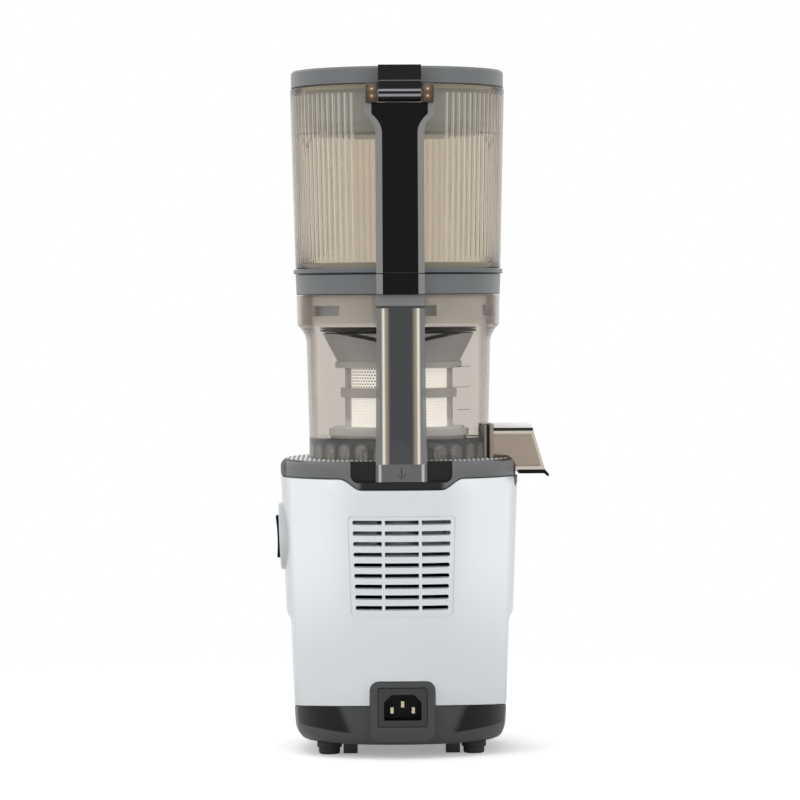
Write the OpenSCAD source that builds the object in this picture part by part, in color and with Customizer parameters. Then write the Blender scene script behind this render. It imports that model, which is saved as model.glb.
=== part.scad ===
// Cold press juicer with a tall hinged-lid hopper, a see-through juicing bowl and a moulded motor base.
// Millimetres. +Z is up, the front faces -Y, the handle column and mains inlet are at the rear (+Y).
// The origin is the middle of the footprint, at the level of the surface that the feet stand on.

/* [Base] */
// Height of the rubber feet under the pan
foot_h = 8.4; // [6:0.2:14]
// Height of the dark pan, from its underside to the seam at the auger axis
pan_h = 20.6; // [16:0.2:30]
// Rise of the seam for each millimetre towards the rear
seam_slope = 0.085; // [0:0.005:0.15]
// Height of the painted shell at its sides
shell_h = 155; // [150:1:190]
// Wall of the painted shell
shell_t = 2.8; // [2:0.1:4]
// Half width of the base at the rim
rim_half_w = 79.4; // [76:0.2:95]
// Half width of the base at the seam
seam_half_w = 73.9; // [72:0.2:90]
// Distance from the auger axis to the rear of the base at the rim
rim_rear = 76; // [74:0.5:90]
// Distance from the auger axis to the rear of the base at the seam
seam_rear = 70.5; // [69:0.5:85]
// Distance from the auger axis to the front of the base at the rim
rim_front = 95; // [90:0.5:120]
// Distance from the auger axis to the front of the base at the seam
seam_front = 89; // [85:0.5:115]
// Squareness of the plan outline: 2 is an ellipse
plan_power = 2.3; // [2:0.05:3.2]
// Depth of the grip scoop in each side
scoop_d = 2.6; // [0:0.1:3]
// Height of the scoop above the seam
scoop_h = 65; // [40:1:90]
// Height of the dark rim between the shell and the deck
rim_h = 11.5; // [9:0.5:16]
// Thickness of the deck
deck_t = 3; // [2:0.1:5]

/* [Rear notch and vents] */
// Half width of the notch that takes the handle column
notch_half_w = 33; // [30:0.5:38]
// Height of the notch floor above the rim seam
notch_floor = -2.3; // [-3:0.1:2]
// Drop of the rim seam under the notch
notch_dip = 7.2; // [5.5:0.1:10]
// Rows of vent slots
vent_rows = 9; // [4:1:12]
// Distance between the rows of slots
vent_pitch = 7; // [5:0.1:9]
// Height of one slot
vent_slot_h = 3; // [2:0.1:4]
// Width of the vent field at its top row
vent_w = 64.8; // [50:0.2:76]
// Width lost from the top row to the bottom row
vent_taper = 4; // [0:0.2:10]
// Gap between two slots in a row
vent_gap = 2; // [1.5:0.1:4]
// Height of the top row above the seam at the auger axis
vent_top = 126.3; // [110:0.5:140]

/* [Mains inlet and switch] */
// Width of the inlet flange
inlet_w = 32.2; // [30:0.2:36]
// Height of the inlet flange
inlet_h = 25.4; // [23:0.2:28]
// Height of the inlet centre above the floor
inlet_z = 33.9; // [33:0.1:40]
// Distance between the two live pins
pin_pitch = 14; // [13:0.1:15]
// Radius of the switch boss on the side
boss_r = 22.5; // [20:0.5:26]
// Height of the rocker
rocker_h = 28.4; // [24:0.2:32]
// Width of the rocker
rocker_w = 12.6; // [9:0.2:16]
// Depth of the switch centre below the rim of the shell
switch_drop = 41; // [30:1:60]

/* [Motor and gears] */
// Radius of the motor can
motor_r = 34; // [30:0.5:38]
// Length of the motor can
motor_h = 62; // [50:1:66]
// Tooth module of both gear stages
gear_module = 1; // [0.9:0.05:1.05]
// Teeth on each small gear
pinion_teeth = 12; // [10:1:14]
// Teeth on each large gear
wheel_teeth = 42; // [38:1:44]
// Radius of the drive shaft in its bush
drive_r = 6; // [5:0.1:7]
// Width across flats of the drive hexagon
hex_af = 10; // [8:0.1:11]

/* [Bowl] */
// Height of the ribbed skirt under the bowl floor
skirt_h = 10.7; // [9:0.1:14]
// Thickness of the bowl floor
floor_t = 3; // [2:0.1:4]
// Height of the lower wall above the floor
bowl_low_h = 61.5; // [58:0.5:72]
// Height of the flared shoulder
shoulder_h = 13.5; // [12:0.1:15]
// Height of the wide top of the bowl
bowl_up_h = 19.8; // [18:0.1:30]
// Outer radius of the bowl at the floor
bowl_r_low = 60.2; // [59:0.1:62]
// Outer radius of the bowl under the shoulder
bowl_r_mid = 61.7; // [60:0.1:64]
// Outer radius of the bowl at its top
bowl_r_top = 68.2; // [67:0.1:72]
// Wall of the bowl
bowl_t = 2.5; // [2:0.1:3]
// Half width of the handle column at its top
column_top_w = 15.5; // [13:0.1:18]
// Half width of the handle column at its foot
column_foot_w = 16.8; // [14:0.1:20]
// Distance from the bowl's wide top to the rear face of the column
column_out = 8.3; // [7:0.1:12]
// Wall of the handle column
column_t = 2.3; // [1.8:0.1:3]

/* [Strainer and auger] */
// Outer radius of the strainer foot flange
strainer_flange_r = 47; // [44:0.5:50]
// Height of the strainer foot flange
strainer_flange_h = 7; // [5:0.5:9]
// Outer radius of the strainer middle ring
strainer_mid_r = 39; // [38:0.5:43]
// Outer radius of the strainer top ring
strainer_top_r = 42.5; // [41.5:0.5:46]
// Step from the auger dish in to the rim of the strainer funnel
funnel_in = 1.6; // [1:0.1:3]
// Posts of the strainer frame
posts = 5; // [4:1:8]
// Thickness of the perforated sheet
mesh_t = 0.8; // [0.4:0.1:1]
// Gap between the auger dish and the hopper spigot
dish_gap = 11.8; // [11:0.1:14]

/* [Hopper and lid] */
// Height of the grey collar
collar_h = 13.8; // [12:0.2:20]
// Step from the bowl out to the grey collar
collar_out = 0.6; // [0:0.1:3]
// Step from the bowl out to the flange over the collar
flange_out = 1.9; // [1.3:0.1:5]
// Thickness of that flange
flange_t = 2.9; // [2:0.1:4]
// Height of the hopper tube
hopper_h = 120.7; // [100:1:160]
// Step from the bowl out to the foot of the hopper tube
hopper_out = 0.6; // [0:0.1:1.8]
// Widening of the hopper tube from its foot to its mouth
hopper_flare = 3.1; // [1:0.1:5]
// Wall of the hopper tube
hopper_t = 2.6; // [2:0.1:3.5]
// Height of the lid ring
lid_h = 11.3; // [9:0.1:16]
// Step from the hopper mouth in to the lid ring
lid_in = 0.8; // [0:0.1:2]
// Depth of the cup that hangs from the lid
cup_h = 33; // [20:1:45]
// Gap between the cup and the hopper wall
cup_gap = 6.6; // [5.8:0.1:12]
// Half width of the handle spine
spine_half_w = 15.8; // [14:0.1:18]
// Half width of the spine at the hinge
spine_top_w = 22.6; // [21:0.1:26]
// Half width of the hinge strap
strap_half_w = 14; // [12:0.1:15]
// Distance from the hopper mouth to the rear face of the spine
spine_out = 8.1; // [7.2:0.1:12]
// Radius of the hinge pin
hinge_pin_r = 1.5; // [1:0.1:2]

/* [Outlets] */
// Half width of the pulp chute
chute_half_w = 21; // [16:0.5:22]
// Reach of the pulp chute's top from the auger axis
chute_top_x = 88.4; // [86:0.2:100]
// Reach of the pulp chute's floor from the auger axis
chute_foot_x = 97; // [92:0.2:110]
// Wall of the pulp chute
chute_t = 2; // [1.5:0.1:3]
// Reach of the juice spout from the auger axis
spout_y = 113; // [105:1:130]
// Outer radius of the juice spout
spout_r = 11; // [9:0.2:13]
// Wall of the juice spout
spout_t = 2; // [1.5:0.1:2.5]

/* [Hidden] */
$fn = 64;
// Gap between mouldings that are set in one another
gap = 0.3;
// Gap between faces that are joined
touch = 0.05;
// Radial gap of a shaft in its bush
run = 0.05;
// Overshoot of a cutter
over = 1;

// Heights of the stack, from the floor up
seam_z = foot_h + pan_h;
rim_z = seam_z + shell_h;
deck_z = rim_z + rim_h;
bowl_z = deck_z + gap;
floor_z = bowl_z + skirt_h + floor_t;
shoulder_z = floor_z + bowl_low_h;
bowl_wide_z = shoulder_z + shoulder_h;
bowl_top_z = bowl_wide_z + bowl_up_h;
collar_z = bowl_top_z + gap;
flange_z = collar_z + collar_h + gap;
hopper_z = flange_z + flange_t;
mouth_z = hopper_z + hopper_h;
lid_z = mouth_z + 0.4;
lid_top_z = lid_z + lid_h;

// Radii that follow the bowl's wide top
collar_r = bowl_r_top + collar_out;
flange_r = bowl_r_top + flange_out;
hopper_r_low = bowl_r_top + hopper_out;
hopper_r_top = hopper_r_low + hopper_flare;
lid_r = hopper_r_top - lid_in;
cup_r = hopper_r_top - hopper_t - cup_gap;
spigot_r = bowl_r_top - bowl_t - 1.5;
dish_r = spigot_r - dish_gap;
funnel_r = dish_r - funnel_in;
column_y = bowl_r_top + column_out;
spine_y = hopper_r_top + spine_out;
hinge_y = spine_y - 1;

// Names of the pieces

function lerp(a, b, t) = a + (b - a) * t;
function ramp(t) = let (u = min(1, max(0, t))) u * u * (3 - 2 * u);
function signed_pow(v, e) = sign(v) * pow(abs(v), e);

// ---- Tapered outline of the base ----
ring_n = 72;
scoop_z = seam_z + scoop_h;
scoop_blend = 8;
scoop_rear = 30;
scoop_front = 45;
side_half_w = chute_half_w + 2.5;
side_dip = 7;

function level(z) = (z - seam_z) / shell_h;
function scoop(y, z) = scoop_d * ramp((scoop_z - z) / scoop_blend)
    * ramp((scoop_rear - y) / scoop_blend) * ramp((y + scoop_front) / scoop_blend);
function body_pt(i, z, inset = 0) =
    let (a = 360 * i / ring_n,
         half_w = lerp(seam_half_w, rim_half_w, level(z)) - inset,
         rear = lerp(seam_rear, rim_rear, level(z)) - inset,
         front = lerp(seam_front, rim_front, level(z)) - inset,
         x = half_w * signed_pow(cos(a), 2 / plan_power),
         y = (sin(a) >= 0 ? rear : front) * signed_pow(sin(a), 2 / plan_power))
    [x - sign(x) * scoop(y, z), y, z];
function body_ring(z, inset = 0) = [for (i = [0 : ring_n - 1]) body_pt(i, z, inset)];
// The seam leans with seam_slope, and the rim dips under the rear notch and the pulp chute.
function seam_ring(rise = 0, inset = 0) = [for (i = [0 : ring_n - 1])
    let (y = body_pt(i, seam_z, inset).y) body_pt(i, seam_z + seam_slope * y + rise, inset)];
notch_flat = notch_half_w - 4;
dip_run = 10;
function rim_drop(x, y) = max(
    y > 0 ? notch_dip * (1 - ramp((abs(x) - notch_flat) / dip_run)) : 0,
    x < 0 ? side_dip * (1 - ramp((abs(y) - side_half_w) / (dip_run / 2))) : 0);
function rim_ring(rise = 0, inset = 0) = [for (i = [0 : ring_n - 1])
    let (p = body_pt(i, rim_z, inset)) body_pt(i, rim_z - rim_drop(p.x, p.y) + rise, inset)];

// Skin between consecutive rings of equal length; the first and last ring are capped.
module capped_loft(rings) {
    n = len(rings[0]);
    m = len(rings);
    points = [for (r = rings) each r];
    sides = [for (j = [0 : m - 2], i = [0 : n - 1]) each
        let (a = j * n + i, b = j * n + (i + 1) % n) [[a, a + n, b], [b, a + n, b + n]]];
    first = [for (i = [0 : n - 1]) i];
    last = [for (i = [n - 1 : -1 : 0]) (m - 1) * n + i];
    polyhedron(points, concat(sides, [first, last]), convexity = 10);
}

// Skin between consecutive rings, the last joined to the first: a tube with a wall.
module looped_loft(rings) {
    n = len(rings[0]);
    m = len(rings);
    points = [for (r = rings) each r];
    sides = [for (j = [0 : m - 1], i = [0 : n - 1]) each
        let (k = (i + 1) % n, a = j * n + i, b = j * n + k, c = ((j + 1) % m) * n + i, d = ((j + 1) % m) * n + k)
        [[a, c, b], [b, c, d]]];
    polyhedron(points, sides, convexity = 10);
}

// Solid body outline between two heights.
module body_block(z0, z1, inset) {
    capped_loft([body_ring(z0, inset), body_ring(z1, inset)]);
}

// A 2-D shape in X and Z, extruded along Y from y0 to y1.
module along_y(y0, y1) {
    translate([0, y1, 0]) rotate([90, 0, 0]) linear_extrude(y1 - y0) children();
}

// A 2-D shape in Y and Z, extruded along X from x0 to x1.
module along_x(x0, x1) {
    translate([x0, 0, 0]) rotate([90, 0, 90]) linear_extrude(x1 - x0) children();
}

// A rectangle with rounded corners, made of two bars and four circles.
module rounded_rect(w, h, r) {
    square([w - 2 * r, h], center = true);
    square([w, h - 2 * r], center = true);
    for (x = [-1, 1], y = [-1, 1]) translate([x * (w / 2 - r), y * (h / 2 - r)]) circle(r, $fn = 32);
}

module tube(r_out, r_in, h) {
    difference() {
        cylinder(r = r_out, h = h);
        translate([0, 0, -over]) cylinder(r = r_in, h = h + 2 * over);
    }
}

// ---- Pan, feet and shell ----
foot_x = 48;
foot_y = 34;
foot_front_y = -48;
foot_r = 7;
foot_flange_r = 8.2;
boss_x = 55;
boss_y = 12;
boss_front_y = -20;
lug_z = seam_z + 20;
lug_t = 5;
screw_r = 1.6;
pan_t = 3;
tongue_h = 3;
tongue_in = shell_t + gap;
tab_half_w = 21.3;
tab_top = inlet_z + inlet_h / 2 + 4.2;
tab_y = seam_rear + 1.5;
tab_r = 7;

module at_feet() {
    for (x = [-foot_x, foot_x], y = [foot_front_y, foot_y]) translate([x, y, 0]) children();
}

module at_bosses() {
    for (x = [-boss_x, boss_x], y = [boss_front_y, boss_y]) translate([x, y, 0]) children();
}

// Outline of the inlet tab as seen from the rear: straight foot, rounded shoulders.
module tab_outline(grow) {
    translate([0, (tab_top + pan_z_in) / 2]) rounded_rect(2 * (tab_half_w + grow), tab_top - pan_z_in + 2 * grow, tab_r);
}
pan_z_in = foot_h + pan_t;

module base_pan() {
    color([0.22, 0.22, 0.23]) difference() {
        union() {
            capped_loft([
                body_ring(foot_h, 8),
                body_ring(foot_h + 1.2, 4.5),
                body_ring(foot_h + 4.2, 1.6),
                body_ring(foot_h + 9, 0.3),
                seam_ring(-gap, 0),
                seam_ring(-gap, tongue_in),
                seam_ring(tongue_h, tongue_in),
                seam_ring(tongue_h, tongue_in + 2.5),
                seam_ring(-gap, tongue_in + 2.5),
                body_ring(pan_z_in + 6, pan_t),
                body_ring(pan_z_in, pan_t + 5)
            ]);
            // Inlet tab
            difference() {
                along_y(tab_y - 13, tab_y) tab_outline(0);
                along_y(tab_y - 14, tab_y - 3.5) square([2 * tab_half_w - 5, 200], center = true);
            }
            // Screw bosses up to the shell's lugs
            at_bosses() translate([0, 0, foot_h + 1]) cylinder(r = 4.5, h = lug_z - foot_h - 1 - touch);
            // Square posts beside the rubber feet
            for (x = [-1, 1]) translate([x * 34 - 4.7, foot_y - 4, gap]) cube([9.4, 8, foot_h + 1]);
            // Slots that hold the control board
            for (x = [-1, 1]) translate([x * board_half_w - 3, board_y - 3.5, foot_h + 1]) cube([6, 7, 14]);
            // Small rib under the rear edge
            translate([14.4, foot_y + 6, foot_h - 1.6]) cube([11.6, 2, 3]);
        }
        // Inlet flange pocket and body hole
        translate([0, 0, inlet_z]) along_y(tab_y - 2.5, tab_y + over) rounded_rect(inlet_w + 2 * gap, inlet_h + 2 * gap, 1.5);
        translate([0, 0, inlet_z]) along_y(tab_y - 20, tab_y) square([27.4 + 2 * touch, 20.2 + 2 * touch], center = true);
        at_feet() translate([0, 0, -over]) cylinder(r = 3, h = foot_h + pan_t + 2 * over);
        at_bosses() translate([0, 0, -over]) cylinder(r = screw_r + 0.3, h = lug_z + 2 * over);
        at_bosses() translate([0, 0, -over]) cylinder(r = 3.4, h = foot_h + 10 + over);
        for (x = [-1, 1]) translate([x * board_half_w - (x > 0 ? 4 : 0), board_y - 0.8 - touch, pan_z_in]) cube([4, 1.6 + 2 * touch, 20]);
    }
}

// Stepped rubber foot with a stem that snaps through the pan.
module rubber_feet() {
    color([0.12, 0.12, 0.12]) at_feet() rotate_extrude() polygon([
        [0, 0], [foot_r - 0.8, 0], [foot_r, 0.8], [foot_r, foot_h - 4.4], [foot_flange_r, foot_h - 3.6],
        [foot_flange_r, foot_h - touch], [3 - touch, foot_h - touch], [3 - touch, pan_z_in + touch],
        [4.2, pan_z_in + touch], [3, pan_z_in + 2.5], [0, pan_z_in + 2.5]]);
}

module pan_screw() {
    translate([0, 0, foot_h + 10 - 2.4 - touch]) cylinder(r = 3, h = 2.4);
    translate([0, 0, foot_h + 10 - 2.4 - touch]) cylinder(r = screw_r - touch, h = lug_z + lug_t - foot_h - 7);
}

module pan_screws() {
    color("silver") at_bosses() pan_screw();
}

slot_r = vent_slot_h / 2;
// One slot between x0 and x1, with round ends.
module slot_2d(x0, x1) {
    translate([x0 + slot_r, -slot_r]) square([x1 - x0 - 2 * slot_r, vent_slot_h]);
    translate([x0 + slot_r, 0]) circle(slot_r, $fn = 24);
    translate([x1 - slot_r, 0]) circle(slot_r, $fn = 24);
}

module vent_slots_2d() {
    mid = 11.1;
    for (row = [0 : vent_rows - 1]) {
        half = (vent_w - vent_taper * row / (vent_rows - 1)) / 2;
        translate([0, seam_z + vent_top - row * vent_pitch]) {
            slot_2d(-mid, mid);
            slot_2d(mid + vent_gap, half);
            slot_2d(-half, -mid - vent_gap);
        }
    }
}

switch_z = rim_z - switch_drop;
lean = atan((rim_half_w - seam_half_w) / shell_h);
face_x = lerp(seam_half_w, rim_half_w, level(switch_z));
boss_out = 2.6;

// Children drawn at the switch: local X points out of the side wall and Z runs up it.
module at_switch() {
    translate([face_x, 0, switch_z]) rotate([0, lean, 0]) children();
}

module base_shell() {
    levels = [seam_z + 18, scoop_z - 14, scoop_z - 8, scoop_z - 6, scoop_z - 4, scoop_z - 2, scoop_z,
        lerp(scoop_z, rim_z, 0.4), rim_z - notch_dip - 5];
    color([0.83, 0.85, 0.87]) difference() {
        union() {
            looped_loft(concat(
                [seam_ring(0, 0)], [for (z = levels) body_ring(z, 0)], [rim_ring(-gap, 0)],
                [rim_ring(-gap, shell_t)], [for (k = [len(levels) - 1 : -1 : 0]) body_ring(levels[k], shell_t)],
                [seam_ring(0, shell_t)]));
            // Lugs for the pan screws
            intersection() {
                at_bosses() translate([-17, -5, lug_z]) cube([34, 10, lug_t]);
                difference() {
                    body_block(lug_z - over, lug_z + lug_t + over, shell_t / 2);
                    translate([0, 0, lug_z - 2 * over]) linear_extrude(lug_t + 4 * over)
                        square([2 * (boss_x - 5), 400], center = true);
                }
            }
        }
        along_y(seam_rear - 15, rim_rear + 5) vent_slots_2d();
        along_y(seam_rear - 15, rim_rear + 5) tab_outline(gap);
        at_bosses() translate([0, 0, lug_z - over]) cylinder(r = screw_r, h = lug_t + 2 * over);
        // Seat of the switch bezel
        at_switch() rotate([0, 90, 0]) translate([0, 0, -8]) cylinder(r = boss_r - 4, h = 14);
    }
}

// ---- Deck cover ----
hub_r = 26;
hub_h = 5;
post_r = 4.5;
post_x = 33;
post_y = 17;
rod_half_w = 6;
rod_half_t = 1.9;
rod_y = column_y - column_t - rod_half_t - 0.4;
tip_y = rod_y - 5.4;
notch_z = rim_z + notch_floor;
tray_t = 2.5;
notch_y = 62.6;
side_x = bowl_r_low + 2.2;
side_z = rim_z - 1;
seal_r = 12;

module at_posts() {
    for (x = [-post_x, post_x], y = [-post_y, post_y]) translate([x, y, 0]) children();
}

// Profile of the rear notch, with rounded lower corners.
module notch_2d(half_w, floor_h, r) {
    translate([-half_w, floor_h + r]) square([2 * half_w, 40]);
    translate([-half_w + r, floor_h]) square([2 * (half_w - r), 40]);
    for (x = [-1, 1]) translate([x * (half_w - r), floor_h + r]) circle(r, $fn = 32);
}

module deck_cover() {
    color([0.34, 0.35, 0.36]) difference() {
        union() {
            capped_loft([
                body_ring(deck_z - deck_t, tongue_in + 2.5),
                rim_ring(-tongue_h, tongue_in + 2.5),
                rim_ring(-tongue_h, tongue_in),
                rim_ring(gap, tongue_in),
                rim_ring(gap, 0),
                body_ring(deck_z - 5, 0),
                body_ring(deck_z - 2.2, 1),
                body_ring(deck_z - 0.6, 3),
                body_ring(deck_z, 5.5)
            ]);
            // Trays under the rear notch and the pulp chute
            intersection() {
                union() {
                    translate([-notch_half_w - tray_t, notch_y - tray_t, notch_z - tray_t])
                        cube([2 * (notch_half_w + tray_t), 40, deck_z - notch_z]);
                    translate([-side_x - 40, -side_half_w - tray_t, side_z - tray_t])
                        cube([40 + tray_t, 2 * (side_half_w + tray_t), deck_z - side_z]);
                }
                body_block(rim_z - notch_dip + 1, deck_z - 1, 2);
            }
            // Hub round the drive shaft, and posts that carry the gearbox
            translate([0, 0, deck_z - deck_t]) cylinder(r = hub_r, h = deck_t + hub_h);
            at_posts() translate([0, 0, case_top_z + touch]) cylinder(r = post_r, h = deck_z - 1 - case_top_z);
        }
        along_y(notch_y, rim_rear + 20) notch_2d(notch_half_w, notch_z, 5);
        along_x(-side_x - 40, -side_x) notch_2d(side_half_w, side_z, 2);
        translate([0, 0, deck_z - deck_t - over]) cylinder(r = seal_r, h = deck_t + hub_h + 2 * over);
        at_posts() translate([0, 0, case_top_z - over]) cylinder(r = screw_r, h = 12 + over);
        translate([-3.5, tip_y - 2.5, notch_z - 4]) cube([7, 5, 6]);
    }
}

// ---- Mains inlet ----
inlet_front = tab_y - 2.5 + 2.2;

// Six-sided mouth of the socket: the two upper corners are cut off.
module socket_2d(w, h, cut) {
    polygon([[-w / 2, -h / 2 + 1.5], [-w / 2 + 1.5, -h / 2], [w / 2 - 1.5, -h / 2], [w / 2, -h / 2 + 1.5],
        [w / 2, h / 2 - cut], [w / 2 - cut, h / 2], [-w / 2 + cut, h / 2], [-w / 2, h / 2 - cut]]);
}

module inlet_body() {
    color([0.1, 0.1, 0.1]) translate([0, 0, inlet_z]) difference() {
        union() {
            along_y(tab_y - 2.5 + touch, inlet_front) rounded_rect(inlet_w, inlet_h, 1.2);
            along_y(tab_y - 22, tab_y - 2.4) square([27.4, 20.2], center = true);
        }
        along_y(inlet_front - 16, inlet_front + over) socket_2d(24.6, 17, 5);
        for (p = pin_places) translate([p.x, 0, p.y]) along_y(0, 80) square([2 + 2 * touch, 4 + 2 * touch], center = true);
    }
}
pin_places = [[0, 2], [-pin_pitch / 2, -2], [pin_pitch / 2, -2]];

module inlet_pins() {
    color("gold") for (p = pin_places) translate([p.x, 0, inlet_z + p.y])
        along_y(tab_y - 30, inlet_front - 2.5) square([2, 4], center = true);
}

// ---- Rocker switch, in the switch's own frame: X out, Y along the pivot, Z up ----
pivot_x = -3;
rocker_face = boss_out + 2.3;
aperture_h = rocker_h + 3.2;
aperture_w = rocker_w + 1;

module switch_bezel() {
    color([0.85, 0.87, 0.89]) at_switch() difference() {
        union() {
            // The rim follows the wall, which curves away behind it
            difference() {
                rotate([0, 90, 0]) translate([0, 0, -4]) cylinder(r = boss_r, h = boss_out + 4);
                rotate([0, -lean, 0]) translate([-face_x, 0, -switch_z])
                    body_block(switch_z - boss_r - 6, switch_z + boss_r + 6, -touch);
            }
            rotate([0, 90, 0]) translate([0, 0, -7]) cylinder(r = boss_r - 4 - gap, h = 9);
        }
        along_x(-8, boss_out + over) square([aperture_w, aperture_h], center = true);
    }
}

module switch_body() {
    color([0.12, 0.12, 0.12]) at_switch() difference() {
        along_x(-24, -7 - touch) square([aperture_w + 4, aperture_h + 4], center = true);
        translate([pivot_x, 0, 0]) rotate([90, 0, 0]) cylinder(r = 11.5, h = aperture_w, center = true);
    }
}

module rocker() {
    dish_r_local = 95;
    color([0.08, 0.08, 0.08]) at_switch() union() {
        difference() {
            along_x(pivot_x, rocker_face) square([rocker_w, rocker_h], center = true);
            translate([rocker_face - 0.85 + dish_r_local, 0, 0]) rotate([90, 0, 0])
                cylinder(r = dish_r_local, h = rocker_w + 2, center = true, $fn = 128);
            // Rounded ends
            for (z = [-1, 1]) translate([rocker_face, 0, z * rocker_h / 2]) rotate([0, 45, 0])
                cube([2.2, rocker_w + 2, 2.2], center = true);
            // Clearance behind the ends, which dip into the bezel
            for (z = [-1, 1]) translate([pivot_x - 3, 0, z * (rocker_h / 2 + 4)])
                cube([7.2, rocker_w + 2, 12], center = true);
        }
        translate([pivot_x, 0, 0]) rotate([90, 0, 0]) cylinder(r = 8, h = rocker_w, center = true);
    }
}

// ---- Motor, gears and electrics ----
case_h = 33;
case_z = deck_z - deck_t - 27.5 - case_h;
case_top_z = case_z + case_h;
case_t = 3;
motor_z = case_z - 4 - motor_h;
shaft_r = 4;
rotor_r = 17.4;
stator_in = 18;
centre_d = gear_module * (pinion_teeth + wheel_teeth) / 2;
wheel_tip = gear_module * (wheel_teeth / 2 + 0.8);
pressure = 25;
backlash = 0.1;
board_half_w = 26;
board_y = -62;
idler_r = 3;

function involute(phi) = tan(phi) * 180 / PI - phi;
// Half angle of a tooth at radius r, for a gear of n teeth.
function tooth_half(n, r) =
    let (rp = gear_module * n / 2, rb = rp * cos(pressure), rr = max(r, rb))
    90 / n - backlash / 2 / rp * 180 / PI + involute(pressure) - involute(acos(rb / rr));
function gear_radii(n) = let (rp = gear_module * n / 2, low = rp - gear_module, high = rp + 0.8 * gear_module,
    base = max(low, rp * cos(pressure))) concat([low], [for (k = [0 : 4]) lerp(base + 0.01, high, k / 4)]);

module gear_2d(n) {
    radii = gear_radii(n);
    m = len(radii);
    polygon([for (i = [0 : n - 1]) each concat(
        [for (k = [0 : m - 1]) let (a = 360 * i / n - tooth_half(n, radii[k])) radii[k] * [cos(a), sin(a)]],
        [for (k = [m - 1 : -1 : 0]) let (a = 360 * i / n + tooth_half(n, radii[k])) radii[k] * [cos(a), sin(a)]])]);
}

module motor_can() {
    color("dimgray") translate([0, 0, motor_z]) tube(motor_r, motor_r - 2, motor_h);
}

module stator() {
    color("sienna") translate([0, 0, motor_z + 8]) tube(motor_r - 2 - touch, stator_in, motor_h - 16);
}

module lower_bracket() {
    color("silver") difference() {
        union() {
            translate([0, 0, motor_z - 4]) cylinder(r = motor_r, h = 4 - touch);
            translate([0, 0, motor_z - 6]) cylinder(r = 9, h = 6 - touch);
        }
        translate([0, 0, motor_z - 10]) cylinder(r = shaft_r + run, h = 20);
        for (a = [45 : 90 : 315]) rotate([0, 0, a]) translate([21, 0, motor_z - 10]) cylinder(r = 7, h = 20);
    }
}

module upper_bracket() {
    color("silver") difference() {
        translate([0, 0, case_z - 4 + touch]) cylinder(r = motor_r, h = 4 - 2 * touch);
        translate([0, 0, case_z - 10]) cylinder(r = shaft_r + run, h = 20);
        for (a = [45 : 90 : 315]) rotate([0, 0, a]) translate([21, 0, case_z - 10]) cylinder(r = 4, h = 20);
    }
}

module rotor() {
    color("slategray") union() {
        translate([0, 0, motor_z - 22]) cylinder(r = shaft_r, h = case_z + 14 - motor_z + 22);
        translate([0, 0, motor_z + 8]) cylinder(r = rotor_r, h = motor_h - 16);
        translate([0, 0, case_z + 4]) linear_extrude(10) gear_2d(pinion_teeth);
    }
}

fan_z = motor_z - 20;
module cooling_fan() {
    color([0.2, 0.2, 0.22]) difference() {
        union() {
            translate([0, 0, fan_z]) cylinder(r = 7, h = 12);
            translate([0, 0, fan_z + 10.5]) cylinder(r = 30, h = 1.5);
            for (a = [0 : 40 : 320]) rotate([0, 0, a]) translate([6, -0.6, fan_z]) cube([23.5, 1.2, 11]);
        }
        translate([0, 0, fan_z - over]) cylinder(r = shaft_r + touch, h = 14);
    }
}

module case_outline(r) {
    circle(r);
    translate([0, -centre_d]) circle(r);
    translate([-r, -centre_d]) square([2 * r, centre_d]);
}

module at_case_lugs() {
    for (x = [-post_x, post_x], y = [-post_y, post_y]) translate([x, y]) children();
}

module gear_case() {
    inner = wheel_tip + 1.2;
    color([0.62, 0.63, 0.65]) difference() {
        translate([0, 0, case_z]) linear_extrude(case_h - case_t - touch) {
            case_outline(inner + case_t);
            at_case_lugs() circle(5.5);
            for (y = [-post_y, post_y]) translate([-post_x, y - 4]) square([2 * post_x, 8]);
        }
        translate([0, 0, case_z + case_t]) linear_extrude(case_h) case_outline(inner);
        translate([0, 0, case_z - over]) cylinder(r = 5, h = case_t + 2 * over);
        translate([0, -centre_d, case_z + 1]) cylinder(r = idler_r + touch, h = case_t + over);
        at_case_lugs() translate([0, 0, case_z - over]) cylinder(r = screw_r, h = case_h + 2 * over);
    }
}

module gear_cover() {
    color([0.62, 0.63, 0.65]) difference() {
        translate([0, 0, case_top_z - case_t]) linear_extrude(case_t) {
            case_outline(wheel_tip + 1.2 + case_t);
            at_case_lugs() circle(5.5);
            for (y = [-post_y, post_y]) translate([-post_x, y - 4]) square([2 * post_x, 8]);
        }
        translate([0, 0, case_top_z - 10]) cylinder(r = drive_r + run, h = 20);
        translate([0, -centre_d, case_top_z - 10]) cylinder(r = idler_r + touch, h = 9);
        at_case_lugs() translate([0, 0, case_top_z - 10]) cylinder(r = screw_r, h = 20);
    }
}

module idler_shaft() {
    color("silver") translate([0, -centre_d, case_z + 1 + touch]) cylinder(r = idler_r, h = case_h - 2 - 2 * touch);
}

module idler_gear() {
    color("ivory") translate([0, -centre_d, 0]) difference() {
        union() {
            translate([0, 0, case_z + 4.5]) linear_extrude(8) gear_2d(wheel_teeth);
            translate([0, 0, case_z + 12]) linear_extrude(15) gear_2d(pinion_teeth);
        }
        translate([0, 0, case_z]) cylinder(r = idler_r + run, h = 40);
    }
}

module output_wheel() {
    color("ivory") difference() {
        translate([0, 0, case_z + 15.5]) linear_extrude(10) gear_2d(wheel_teeth);
        translate([0, 0, case_z]) cylinder(r = drive_r + touch, h = 40);
    }
}

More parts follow.
